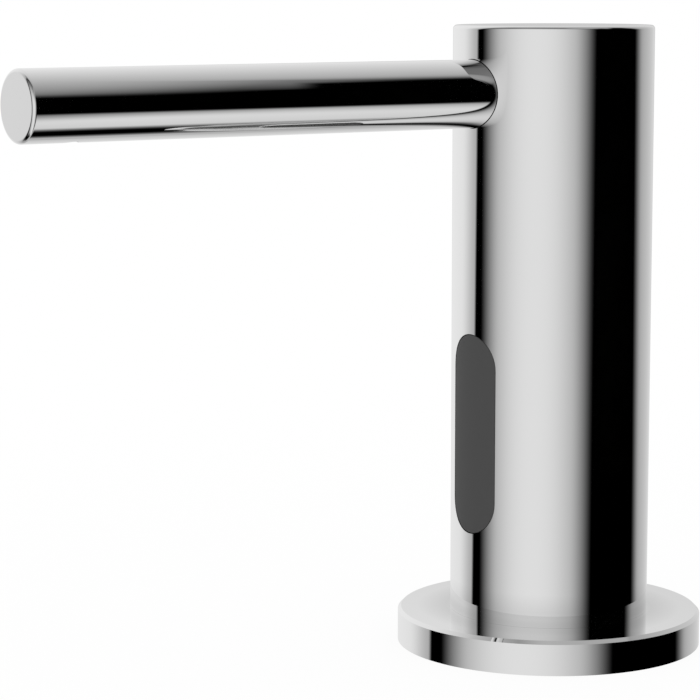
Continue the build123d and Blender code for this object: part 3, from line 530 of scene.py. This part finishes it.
# Plastics and rubber: a fine grain from the mould or the die, its size in millimetres, and a colour that
# wanders a little where the melt flowed.
mouldings = {
    # matt black that hardly mirrors
    "rubber_moulded": {
        "colour": "#161616", "shade": "#101011", "roughness": 0.75, "grain": 0.25, "relief": 0.4,
        "ior": 1.52},
    # milky white, with light in its edges
    "acetal_moulded": {
        "colour": "#EDECE6", "shade": "#E6E5DD", "roughness": 0.38, "grain": 0.4, "relief": 0.15,
        "ior": 1.48, "milky": 0.15},
    # black with a broad soft shine
    "nylon_moulded_black": {
        "colour": "#1B1B1C", "shade": "#141415", "roughness": 0.5, "grain": 0.3, "relief": 0.3,
        "ior": 1.53},
    # cloudy off-white that light enters
    "silicone_extruded": {
        "colour": "#E2E1DB", "shade": "#D6D5CD", "roughness": 0.42, "grain": 0.5, "relief": 0.1,
        "ior": 1.41, "milky": 0.4},
    # nearly clear, with a faint blue
    "epoxy_cast_clear": {
        "colour": "#D4DDE4", "shade": "#CAD5DE", "roughness": 0.12, "grain": 0.6, "relief": 0.05,
        "clear": 0.8},
    # glossy and almost black, a little violet
    "epoxy_cast_smoked": {
        "colour": "#2A2430", "shade": "#201C27", "roughness": 0.14, "grain": 0.6, "relief": 0.05},
    # glossy red, as a lamp's lens
    "epoxy_cast_red": {
        "colour": "#C0241C", "shade": "#A81D18", "roughness": 0.16, "grain": 0.6, "relief": 0.05,
        "milky": 0.3},
    # sooty black with a sandy skin
    "epoxy_moulding_compound": {
        "colour": "#232324", "shade": "#1A1A1B", "roughness": 0.62, "grain": 0.12, "relief": 0.35},
    # dull red with a waxy shine
    "pvc_extruded_red": {
        "colour": "#A3211A", "shade": "#921C17", "roughness": 0.4, "grain": 0.5, "relief": 0.1,
        "ior": 1.54},
}
meltFlow = 14.29
epoxyIor = 1.55


def makeMoulded(name, look):
    material, tree, place = startMaterial(name)
    flow = addNode(tree, "TexNoise", {
        "Vector": place, "Scale": metre / meltFlow, "Detail": 3.0, "Distortion": 1.5})
    grain = addNode(tree, "TexNoise", {"Vector": place, "Scale": metre / look["grain"], "Detail": 2.0})
    return finishTwoTone(
        material, look, tone=flow, spread=0.15, grain=grain, gloss=(-0.06, 0.06), relief=grain,
        depth=0.05, **{
            "IOR": look.get("ior", epoxyIor), "Subsurface Weight": look.get("milky", 0.0),
            "Subsurface Radius": (millimetre, millimetre, millimetre),
            "Transmission Weight": look.get("clear", 0.0)})


# Green solder mask over copper tracks on woven glass: the tracks stand a shade lighter, about half a
# millimetre wide.
boardLook = {
    "colour": "#1B7A40", "shade": "#0E5A2C", "trackPitch": 1.8, "weave": 0.5, "roughness": 0.32,
    "relief": 0.3,
}


def makeBoard(look):
    material, tree, place = startMaterial("fibreglass_solder_masked")
    tracks = addNode(tree, "TexBrick", {
        "Vector": place, "Scale": metre / look["trackPitch"] / 2, "Color1": (0, 0, 0, 1),
        "Color2": (0, 0, 0, 1), "Mortar": white, "Mortar Size": 0.12, "Mortar Smooth": 0.2,
        "Brick Width": 1.3, "Row Height": 0.5}).outputs["Fac"]
    weave = addNode(tree, "TexVoronoi", {
        "Vector": place, "Scale": metre / look["weave"]}, distance="CHEBYCHEV")
    return finishTwoTone(
        material, look, tone=tracks, spread=0.5, grain=weave, gloss=(-0.05, 0.1), relief=tracks,
        depth=0.04)


made = {material.name: material for material in (
    makeChromePlate(chromePlate), makeWindowAcrylic(windowAcrylic), makeJointSealant(jointSealant),
    makeBoard(boardLook),
    *(makeTurnedMetal(name, look) for name, look in turnedMetals.items()),
    *(makeMoulded(name, look) for name, look in mouldings.items()),
)}
slotFinish = {
    "chrome": "chromed_brass_buffed", "window": "infrared_acrylic_moulded",
    "circuit_board": "fibreglass_solder_masked", "brass": "brass_turned", "steel": "stainless_steel_turned",
    "rubber": "rubber_moulded", "white_plastic": "acetal_moulded", "black_plastic": "nylon_moulded_black",
    "silicone": "silicone_extruded", "clear_plastic": "epoxy_cast_clear",
    "lead_insulation": "pvc_extruded_red",
}
# nodes whose real material is finer than their slot's
ownFinish = {
    "ir_receiver": "epoxy_cast_smoked", "indicator_lamp": "epoxy_cast_red",
    "board_chip": "epoxy_moulding_compound", "board_capacitor": "epoxy_moulding_compound",
}
for row in frame["record"]["subparts"]:
    finish = ownFinish.get(row["node"], slotFinish[row["material_slot"]])
    for slot in frame["nodes"][row["node"]].material_slots:
        slot.link = "OBJECT"
        slot.material = made[finish]
chromeAndSealant = ("chromed_brass_buffed", "silicone_sealant_tooled")
print("materials made:", len(made))


# "reach" is how far a hole's own block of cells goes from its middle. The rows of cells go up in turn:
# to the window's block, over it, to the spout hole's block, over it, and on to the top.
column = {
    "radius": 22.5, "bore": 20.5, "bottom": 3.0, "top": 140.4, "ceiling": 138.0, "edge": 0.85,
    "window": {
        "middle": 49.7, "halfSpan": 15.0, "radius": 7.5, "ledge": 6.4, "seat": 21.3, "rounding": 0.05,
        "reach": 26.5},
    "spoutHole": {"middle": 125.5, "halfSpan": 0.0, "radius": 7.05, "rounding": 0.1, "reach": 10.5},
    "cells": 240, "holeCells": 18, "rows": (12, 36, 22, 16, 3),
}
# the middle of its turn, the side, the axis and the origin
columnAxes = (np.array([0.0, -1, 0]), np.array([1.0, 0, 0]), np.array([0.0, 0, 1]), np.zeros(3))


def makeColumn():
    # A tube whose holes are cut straight back, closed above by a rounded edge and a flat end.
    radius, bore, bottom, top = column["radius"], column["bore"], column["bottom"], column["top"]
    ceiling, edge = column["ceiling"], column["edge"]
    holes = {1: column["window"], 3: column["spoutHole"]}
    stops = [hole["middle"] + way * hole["reach"] for hole in holes.values() for way in (-1, 1)]
    along = spaced(bottom, (*stops, top - edge), column["rows"])
    innerAlong = along.copy()
    innerAlong[-1] = ceiling
    sheets = piercedTube(columnAxes, column, along, innerAlong, holes)
    sheets += latheAll((
        rounded((radius - edge, top - edge), edge, 0, 90),
        straight((radius - edge, top), (0, top), (0, 1), 6),
        straight((bore, ceiling), (0, ceiling), (0, -1), 4),
        straight((bore, bottom), (radius, bottom), (0, -1)),
    ), fullTurn(column["cells"]) - np.pi / 2)
    makePiece("column_drawn_cup", sheets, chromeAndSealant, "column_shell")


makeColumn()


# "screwBlock" gives the near and far edge of the block of cells that each screw hole is cut in.
flange = {
    "radius": 34.55, "top": 7.7, "chamfer": 0.75, "recess": 22.502, "floor": 3.0, "hole": 12.05,
    "groove": (27.0, 31.0), "grooveTop": 1.5, "cells": 288, "screwBlock": (12.3, 20.9),
    "screwCells": (26, 8),
}
screw = {
    "distance": 16.6, "turns": (90, 210, 330), "radius": 2.0, "head": 3.8, "face": 0.1, "neck": 2.3,
    "tip": 9.0, "pitch": 0.7, "lead": 0.4, "socket": 2.5, "socketDepth": 1.4, "sideCells": 8, "room": 0.02,
}
screwCentres = screw["distance"] * onCircle(np.radians(screw["turns"]))


def makeFlange():
    # A profile turned round the axis: the underside with its groove, the side, the chamfer, the top, the
    # recess and the hole for the shank. Three countersunk holes go from the underside to the recess.
    angles = fullTurn(flange["cells"])
    radius, top, cut = flange["radius"], flange["top"], flange["chamfer"]
    recess, floor, hole = flange["recess"], flange["floor"], flange["hole"]
    inner, outer = flange["groove"]
    roof = flange["grooveTop"]
    sheets = latheAll(chain([
        (inner, 0), (inner, roof), (outer, roof), (outer, 0), (radius, 0), (radius, top - cut),
        (radius - cut, top), (recess, top), (recess, floor),
    ], (1, 1, 1, 2, 4, 2, 8, 2)) + chain([(hole, floor), (hole, 0)], (2,)), angles)
    wide, rows = flange["screwCells"]
    middles = [round((turn + 180) % 360 * flange["cells"] / 360) for turn in screw["turns"]]
    blocks = [(middle - wide // 2, middle + wide // 2, 1, 1 + rows) for middle in middles]
    near = screw["radius"] + screw["room"]
    far = screw["head"] + screw["room"]
    first, last = flange["screwBlock"]
    faces = ((inner, far, 0.0, -1.0), (recess, near, floor, 1.0))
    for edge, size, height, facing in faces:
        radii = spaced(hole, (first, last, edge), (1, rows, 4))
        sheets.append(levelRing(angles, radii, height, facing, blocks))
    # the wall of each hole: the hole for the screw's shaft, the countersink and a short straight
    wall = chain([(near, floor), (near, screw["neck"]), (far, screw["face"]), (far, 0)])
    for block, centre in zip(blocks, screwCentres):
        loop = blockLoop(angles, radii, block)
        for edge, size, height, facing in faces:
            patch, around = levelPatch(loop, centre, size, height, facing)
            sheets.append(patch)
        sheets += latheAll(wall, around, centre)
    makePiece("flange_turned", sheets, ["chromed_brass_buffed"], "base_flange")


makeFlange()


def makeScrews():
    # Countersunk screws with a hexagon socket: a flat face, a cone to the shaft, and a thread to the tip.
    around = fullTurn(6 * screw["sideCells"])
    face, neck, tip, head, radius = (screw[name] for name in ("face", "neck", "tip", "head", "radius"))
    core = radius - screw["lead"]
    floor = face + screw["socketDepth"]
    socket = hexagonReach(screw["socket"], around)
    runs = [
        *chain([(head, face), (radius, neck), (core, neck)]), *chain([(core, tip), (0, tip)]),
        ([(socket, face), (head, face)], (0, -1)), ([(socket, floor), (0, floor)], (0, -1)),
    ]
    sheets = []
    for centre in screwCentres:
        sheets += latheAll(runs, around, centre)
        sheets.append(threadWall(radius, screw["pitch"], (neck, tip), screw["lead"], around, centre))
        for facing, angles in hexagonSides(screw["sideCells"]):
            side = hexagonReach(screw["socket"], angles)
            side[[0, -1]] = socket[0]
            sheets.append(lathe([(side, face), (side, floor)], (-1, 0), angles, centre, facing))
    makePiece("screws_countersunk", sheets, ["stainless_steel_turned"], "flange_screws")


makeScrews()


shank = {"radius": 12.0, "bore": 9.5, "pitch": 1.5, "ends": (-55.0, 10.0), "lead": 0.9, "cells": 120}


def makeShank():
    # A thread outside, a straight bore inside, and a flat ring at each end.
    angles = fullTurn(shank["cells"])
    low, high = shank["ends"]
    bore, rim = shank["bore"], shank["radius"] - shank["lead"]
    sheets = latheAll(chain([(rim, high), (bore, high), (bore, low), (rim, low)], (1, 8, 1)), angles)
    sheets.append(threadWall(shank["radius"], shank["pitch"], shank["ends"], shank["lead"], angles))
    makePiece("shank_threaded", sheets, ["brass_turned"], "mounting_shank")


makeShank()


nut = {
    "across": 36.0, "bottom": -34.0, "top": -26.0, "trim": 1.2, "bore": 12.05, "mouth": 0.6,
    "sideCells": 30,
}


def makeNut():
    # Six flats with a round bore. A cone of 45 degrees trims the lower corners, and one opens the bore.
    top, bottom, bore = nut["top"], nut["bottom"], nut["bore"]
    corner = nut["across"] / np.sqrt(3)
    trimmed = corner - nut["trim"]
    mouth = bore + nut["mouth"]
    slope = np.sqrt(0.5)
    sheets = []
    for facing, angles in hexagonSides(nut["sideCells"]):
        flat = hexagonReach(nut["across"], angles)
        flat[[0, -1]] = corner
        low = bottom + np.maximum(flat - trimmed, 0)
        foot = np.minimum(flat, trimmed)
        sheets.append(lathe([(flat, top), (flat, low)], (1, 0), angles, facing=facing))
        sheets += latheAll((
            ([(flat, low), (foot, bottom)], (slope, -slope)),
            ([(foot, bottom), (mouth, bottom)], (0, -1)),
            ([(mouth, bottom), (bore, bottom + nut["mouth"])], (-slope, -slope)),
            ([(bore, bottom + nut["mouth"]), (bore, top)], (-1, 0)),
            ([(bore, top), (flat, top)], (0, 1)),
        ), angles)
    makePiece("nut_hexagon", sheets, ["brass_drawn"], "mounting_nut", "clamp_nut")


makeNut()


washers = {
    "washer_pressed": {
        "heights": (-26.0, -24.0), "edge": 0.3, "finish": "stainless_steel_turned", "slot": "steel",
        "node": "steel_washer"},
    "washer_moulded": {
        "heights": (-24.0, -21.0), "edge": 0.5, "finish": "rubber_moulded", "slot": "rubber",
        "node": "rubber_washer"},
}
washerRing = {"radii": (12.35, 22.0), "cells": 192, "edgeCells": 5, "flatCells": 3}


def makeWasher(name, look):
    # a flat ring whose four edges are rounded, from the lower outer one round its section
    edge = look["edge"]
    inner, outer = washerRing["radii"][0] + edge, washerRing["radii"][1] - edge
    low, high = look["heights"][0] + edge, look["heights"][1] - edge
    centres = ((outer, low), (outer, high), (inner, high), (inner, low))
    arcs = [rounded(centre, edge, 90 * k - 90, 90 * k, washerRing["edgeCells"])
            for k, centre in enumerate(centres)]
    runs = list(arcs)
    for arc, after, cells in zip(arcs, arcs[1:] + arcs[:1], (1, washerRing["flatCells"]) * 2):
        runs += chain((arc[0][-1], after[0][0]), (cells,))
    sheets = latheAll(runs, fullTurn(washerRing["cells"]))
    makePiece(name, sheets, [look["finish"]], look["node"], "clamp_washers")


for name, look in washers.items():
    makeWasher(name, look)


spigot = {
    "centre": (5.0635, 3.4905), "bore": 1.5, "tip": -72.6, "stem": 2.55, "barb": 3.0, "barbs": 3,
    "barbPitch": 2.7, "start": 2.4, "collar": 3.7, "collarEnds": (-58.6, -57.0), "nipple": 2.0,
    "top": -39.0, "cells": 72,
}


def makeSpigot():
    # A turned profile about its own axis: three barbs, each a cone that widens upwards and steps back in,
    # then the stem, the collar under the end cap and the nipple above it, with a straight bore.
    stem, pitch = spigot["stem"], spigot["barbPitch"]
    corners = [(spigot["bore"], spigot["top"]), (spigot["bore"], spigot["tip"])]
    height = spigot["tip"]
    for start in (spigot["start"], *[stem] * (spigot["barbs"] - 1)):
        corners += [(start, height), (spigot["barb"], height + pitch)]
        height += pitch
    low, high = spigot["collarEnds"]
    corners += [(stem, height), (stem, low), (spigot["collar"], low), (spigot["collar"], high)]
    corners += [(spigot["nipple"], high), (spigot["nipple"], spigot["top"]), corners[0]]
    sheets = latheAll(chain(corners), fullTurn(spigot["cells"]), spigot["centre"])
    makePiece("spigot_barbed", sheets, ["nylon_moulded_black"], "inlet_spigot")


makeSpigot()


# The cut end's lean stops at "even". The rows of cells go out from there: to the outlet's block, over it,
# and on to the tip.
spout = {
    "radius": 7.5, "bore": 6.0, "reach": 133.9, "height": 125.5, "tip": 0.8, "tipThickness": 2.0,
    "cope": 22.62, "even": 40.0, "stub": 7.0, "stubEnd": 12.0, "bead": (7.64, 22.51),
    "outlet": {"middle": 121.9, "halfSpan": 0.0, "radius": 2.0, "rounding": 0.1, "reach": 4.0},
    "cells": 192, "holeCells": 16, "rows": (8, 40, 8, 5),
}
spoutAxes = (
    np.array([0.0, 0, -1]), np.array([1.0, 0, 0]), np.array([0.0, -1, 0]),
    np.array([0.0, 0, spout["height"]]),
)


def makeSpout():
    # A level tube: its back follows the column's circle, its end is a rounded edge and a flat disc, and the
    # outlet is cut straight up.
    angles = fullTurn(spout["cells"])
    radius, bore, stub, stubEnd = spout["radius"], spout["bore"], spout["stub"], spout["stubEnd"]
    tip, reach, innerEnd = spout["tip"], spout["reach"], spout["reach"] - spout["tipThickness"]
    outlet = spout["outlet"]
    stops = (spout["even"], outlet["middle"] - outlet["reach"], outlet["middle"] + outlet["reach"])
    along = spaced(spout["cope"], (*stops, reach - tip), spout["rows"])
    innerAlong = spaced(stubEnd, (*stops, innerEnd), spout["rows"])

    def ring(tubeRadius, distance):
        return tubePoints(spoutAxes, tubeRadius, angles, np.full(len(angles), distance))

    def cutTo(depth, tubeRadius):
        # where a tube of this radius meets an upright cylinder: the root of the difference of squares
        distance = np.sqrt(depth ** 2 - (tubeRadius * np.sin(angles)) ** 2)
        return tubePoints(spoutAxes, tubeRadius, angles, distance)

    edge, edgeNormals = cutTo(spout["cope"], radius)
    cope = (-edge[:, 1], spout["rows"][0])
    sheets = piercedTube(spoutAxes, spout, along, innerAlong, {2: outlet}, cope)
    # the rounded tip, its flat end inside and out, and the stub's end, turned round the spout's own axis
    for profile, normals in (
        rounded((radius - tip, reach - tip), tip, 0, 90),
        straight((radius - tip, reach), (0, reach), (0, 1), 6),
        straight((bore, innerEnd), (0, innerEnd), (0, -1), 4),
        straight((stub, stubEnd), (bore, stubEnd), (0, -1)),
    ):
        rings = [ring(*point) for point in profile]
        turned = [out * r[1] + ahead * spoutAxes[2] for r, (out, ahead) in zip(rings, normals)]
        sheets.append(sheetCells(np.stack([r[0] for r in rings]), np.stack(turned)))
    # the bead of sealant round the joint, its back against the column, and the stub that enters the column
    beadRadius, beadDepth = spout["bead"]
    foot = cutTo(beadDepth, beadRadius)[0]
    neck, neckNormals = cutTo(beadDepth, stub)
    for pair, normals in (
        ((edge, foot), edgeNormals), ((foot, neck), -spoutAxes[2]),
        ((ring(stub, stubEnd)[0], neck), neckNormals),
    ):
        points = np.stack(pair)
        sheets.append((*sheetCells(points, np.broadcast_to(normals, points.shape)), 1))
    makePiece("spout_drawn_tube", sheets, chromeAndSealant, "spout_tube")


makeSpout()


lens = {
    "front": 22.47, "back": 21.32, "middle": 49.7, "halfSpan": 15.0, "radius": 7.4, "rounding": 0.15,
    "capCells": 48, "sideCells": 24,
}


def makeLens():
    # A round-ended slot: straight sides and two half circles, laid on the column's curve, its rim rounded.
    span, radius, rounding = lens["halfSpan"], lens["radius"], lens["rounding"]
    cap = np.linspace(0, np.pi, lens["capCells"] + 1)
    rise = np.linspace(-span, span, lens["sideCells"] + 1)[1:-1]
    capEnd, side = np.full(len(cap), span), np.zeros(len(rise))
    heights = np.concatenate([rise, capEnd, rise[::-1], -capEnd, rise[:1]])
    away = onCircle(np.concatenate([side, cap, side + np.pi, cap + np.pi, [2 * np.pi]]))
    spine = np.stack([np.zeros(len(heights)), lens["middle"] + heights], axis=1)
    sheets = [
        tubeRings(columnAxes, lens["front"], spine, away, np.linspace(0, radius - rounding, 9)),
        tubeRings(columnAxes, lens["back"], spine, away, np.linspace(0, radius, 9), -1),
    ]
    points, normals = roundedRim(columnAxes, lens["front"], spine, away, radius, -rounding, 6)
    back = onTube(columnAxes, lens["back"], spine + radius * away)[0]
    sideNormals = awayOnSide(columnAxes, away)
    sheets.append(sheetCells(np.stack([*points, back]), np.stack([*normals, sideNormals])))
    makePiece("window_lens", sheets, ["infrared_acrylic_moulded"], "sensor_lens")


makeLens()


# Directions are (azimuth, elevation) in degrees, azimuth from +X towards +Y. Levels are linear, 1 is white.
# A step runs between two values of the cosine to its direction. Where there are two, each gives a share.
studio = {
    "plain": 1.0,
    "front": {
        "azimuth": 302.9, "level": 0.867,
        "fall": ((0.349, 0.751, 0.0, 0.545), (0.58, 1.094, 0.0, 0.455)), "end": (0.122, 1.108)},
    "rear": {"level": 0.48, "slope": (-0.409, 0.017, 0.096), "limit": 1.0},
    "rightEdge": {
        "facing": (158.8, 19.1), "lean": 0.187,
        "steps": ((-0.04, 0.222, 0.0, 0.665), (-0.041, 0.322, 0.0, 0.335))},
    "leftEdge": {
        "facing": (135.2, 17.3), "lean": 0.051,
        "steps": ((-0.051, 0.02, 0.0, 0.593), (-0.072, 0.447, 0.0, 0.407))},
    "topEdge": {
        "facing": (282.7, 28.1), "step": (-0.119, 0.055), "farFacing": (113.7, 40.0),
        "farStep": (0.299, 0.466)},
    "low": {
        "level": 0.581, "slope": (0.268, 0.076, 0.0), "limit": 1.0, "facing": (122.1, 0),
        "step": (-0.187, 0.106), "drops": ((0.33, 0.431, 0.0, 0.408), (0.309, 0.641, 0.0, 0.592))},
    "glint": {"facing": (361.9, 46.0), "step": (0.913, 0.995), "level": 0.371},
    "shelf": {
        "facing": (36.1, 34.4), "step": (0.928, 0.938), "side": (0.536, 0.546), "rise": (0.445, 0.701),
        "level": 0.171, "drop": (0.628, 0.717)},
    "shades": (
        {"facing": (94.2, -62.9), "step": (0.932, 0.996), "level": 0.0},
        {"facing": (141, 1), "step": (0.965, 0.995), "level": 0.74},
        {"facing": (233.3, -59.9), "step": (0.93, 0.998), "level": 0.06},
        {"facing": (254.8, 52.6), "step": (0.993, 0.9987), "level": 0.0},
        {"facing": (255.3, 47.1), "step": (0.932, 0.998), "level": 0.635},
    ),
}


def makeStudio():
    world = bpy.data.worlds.new("studio")
    bpy.context.scene.world = world
    world.use_nodes = True
    tree = world.node_tree
    tree.nodes.clear()
    direction = addNode(tree, "TexCoord").outputs["Generated"]
    height = addNode(tree, "SeparateXYZ", [direction]).outputs["Z"]

    def combine(operation, total, *others):
        # values joined by one operation, two at a time
        for value in others:
            total = addNode(tree, "Math", (total, value), operation=operation)
        return total

    def pointing(vector, *extra):
        # how far a ray points along the vector, and what is added to that
        share = addNode(tree, "VectorMath", (direction, vector), operation="DOT_PRODUCT").outputs["Value"]
        return combine("ADD", share, *extra)

    def smoothSteps(value, *parts):
        # the sum of smooth steps, each between two values, from its start to its end
        return combine("ADD", *[addNode(tree, "MapRange", (value, *part), interpolation_type="SMOOTHSTEP")
                                for part in parts])

    def spot(facing, limits, outside=0.0, inside=1.0):
        # a round spot about a direction
        return smoothSteps(pointing(unitVector(*facing)), (*limits, outside, inside))

    # the front card: it falls off to its sides by azimuth alone, and fades upwards
    front = studio["front"]
    plan = combine("MAXIMUM", combine("SUBTRACT", 1.0, combine("MULTIPLY", height, height)), 0.0001)
    plan = addNode(tree, "Math", [plan], operation="SQRT")
    ahead = combine("DIVIDE", pointing(unitVector(front["azimuth"], 0)), plan)
    frontLight = combine("MULTIPLY", smoothSteps(ahead, *front["fall"]),
                         smoothSteps(height, (*front["end"], front["level"], 0.0)))

    # the rear card, between two edges that lean over below the horizon, and its part above them
    rear, top = studio["rear"], studio["topEdge"]
    below = combine("MINIMUM", height, 0.0)
    sides = []
    for edge in (studio["rightEdge"], studio["leftEdge"]):
        tilt = combine("MULTIPLY", below, edge["lean"])
        sides.append(smoothSteps(pointing(unitVector(*edge["facing"]), tilt), *edge["steps"]))
    upper = combine("MULTIPLY", spot(top["facing"], top["step"]), spot(top["farFacing"], top["farStep"]))
    card = combine("MAXIMUM", combine("MULTIPLY", *sides), upper)
    level = combine("MAXIMUM", pointing(rear["slope"], rear["level"]), 0.0)
    rearLight = combine("MULTIPLY", combine("MINIMUM", level, rear["limit"]), card)

    # the light from below, and a small glint
    low, glint = studio["low"], studio["glint"]
    level = combine("MAXIMUM", pointing(low["slope"], low["level"]), 0.0)
    level = combine("MINIMUM", level, low["limit"])
    down = combine("MULTIPLY", height, -1.0)
    lowLight = combine("MULTIPLY", level, smoothSteps(down, *low["drops"]), spot(low["facing"], low["step"]))
    glintLight = spot(glint["facing"], glint["step"], 0.0, glint["level"])
    total = combine("MAXIMUM", frontLight, rearLight, lowLight, glintLight)
    for shade in studio["shades"]:
        total = combine("MULTIPLY", total, spot(shade["facing"], shade["step"], 1.0, shade["level"]))

    # the shelf: a small zone, unlit on its far side and lighter with height on its near side
    shelf = studio["shelf"]
    zone = spot(shelf["facing"], shelf["step"])
    beyond = spot((90, 0), shelf["side"])
    unlit = combine("MULTIPLY", zone, beyond, smoothSteps(height, (*shelf["drop"], 1.0, 0.0)))
    total = combine("MULTIPLY", total, combine("SUBTRACT", 1.0, unlit))
    rise = addNode(tree, "MapRange", (height, *shelf["rise"], 0.0, shelf["level"]))
    total = combine("MAXIMUM", total, combine("MULTIPLY", zone, combine("SUBTRACT", 1.0, beyond), rise))

    # the camera sees plain white, a mirror or a clear piece the cards, and all else an even light
    path = addNode(tree, "LightPath").outputs
    mirrored = combine("MAXIMUM", path["Is Glossy Ray"], path["Is Transmission Ray"])
    even, shown, cards = [addNode(tree, "Background", {"Color": white, "Strength": strength})
                          for strength in (studio["plain"], 1.0, total)]
    lit = addNode(tree, "MixShader", (mirrored, even, cards))
    seen = addNode(tree, "MixShader", (path["Is Camera Ray"], lit, shown))
    addNode(tree, "OutputWorld", {"Surface": seen})


makeStudio()
print("studio made")


floorSheet = {
    "radii": (0, 40, 100, 200, 300, 400, 700), "cells": 96, "height": -0.02, "clear": (160, 420),
    "shadowShare": 0.08, "colour": "#FBFBFB",
}


def makeFloor():
    # A round sheet just under the flange, which keeps a faint shadow. To the camera it turns into the white
    # of the background with distance, to light it lets more through, and from below it isn't there.
    material, tree, place = startMaterial("painted_paper_matt")
    distance = addNode(tree, "VectorMath", [place], operation="LENGTH").outputs["Value"]
    clear = [radius * millimetre for radius in floorSheet["clear"]]
    fade = addNode(tree, "MapRange", (distance, *clear), interpolation_type="SMOOTHSTEP")
    back = addNode(tree, "NewGeometry").outputs["Backfacing"]
    seen = addNode(tree, "LightPath").outputs["Is Camera Ray"]
    faded = addNode(tree, "Math", (fade, seen), operation="SUBTRACT", use_clamp=True)
    gone = addNode(tree, "Math", (faded, back), operation="MAXIMUM")
    paper = addNode(tree, "BsdfDiffuse", {"Color": hexColour(floorSheet["colour"])})
    lamp = addNode(tree, "Emission", {"Color": white, "Strength": 1.0})
    bright = addNode(tree, "MapRange", (fade, 0.0, 1.0, 1 - floorSheet["shadowShare"]))
    share = addNode(tree, "Math", (seen, bright), operation="MULTIPLY")
    sheet = addNode(tree, "MixShader", (share, paper, lamp))
    nothing = addNode(tree, "BsdfTransparent")
    surface = addNode(tree, "MixShader", (gone, sheet, nothing))
    finishMaterial(material, surface)
    disc = levelRing(fullTurn(floorSheet["cells"]), np.array(floorSheet["radii"]), floorSheet["height"], 1.0)
    floor = buildObject("studio_floor", [disc], [material])
    floor.visible_glossy = False


makeFloor()
# the deck hides these from the mirror finish above it
for node in ("shank_end_cap", "lead_grommet", "inlet_tube", "deck_gasket", "base_plug"):
    frame["nodes"][node].visible_glossy = False
for name in ("screws_countersunk", "shank_threaded", "nut_hexagon", *washers, "spigot_barbed"):
    bpy.data.objects[name].visible_glossy = False
print("floor made")


camera = {
    "place": (0.479116, -0.374793, 0.149633), "forward": (-0.823974, 0.55032, -0.134962), "lens": 138.59,
    "sensor": 36.0, "clip": (0.01, 20.0),
}


def makeCamera():
    data = bpy.data.cameras.new("camera")
    data.sensor_width = camera["sensor"]
    data.lens = camera["lens"]
    data.clip_start, data.clip_end = camera["clip"]
    lookout = bpy.data.objects.new("camera", data)
    lookout.location = camera["place"]
    lookout.rotation_mode = "QUATERNION"
    lookout.rotation_quaternion = Vector(camera["forward"]).to_track_quat("-Z", "Y")
    bpy.context.scene.collection.objects.link(lookout)
    bpy.context.scene.camera = lookout


makeCamera()
bpy.context.scene.view_settings.view_transform = "Standard"
print("camera placed")
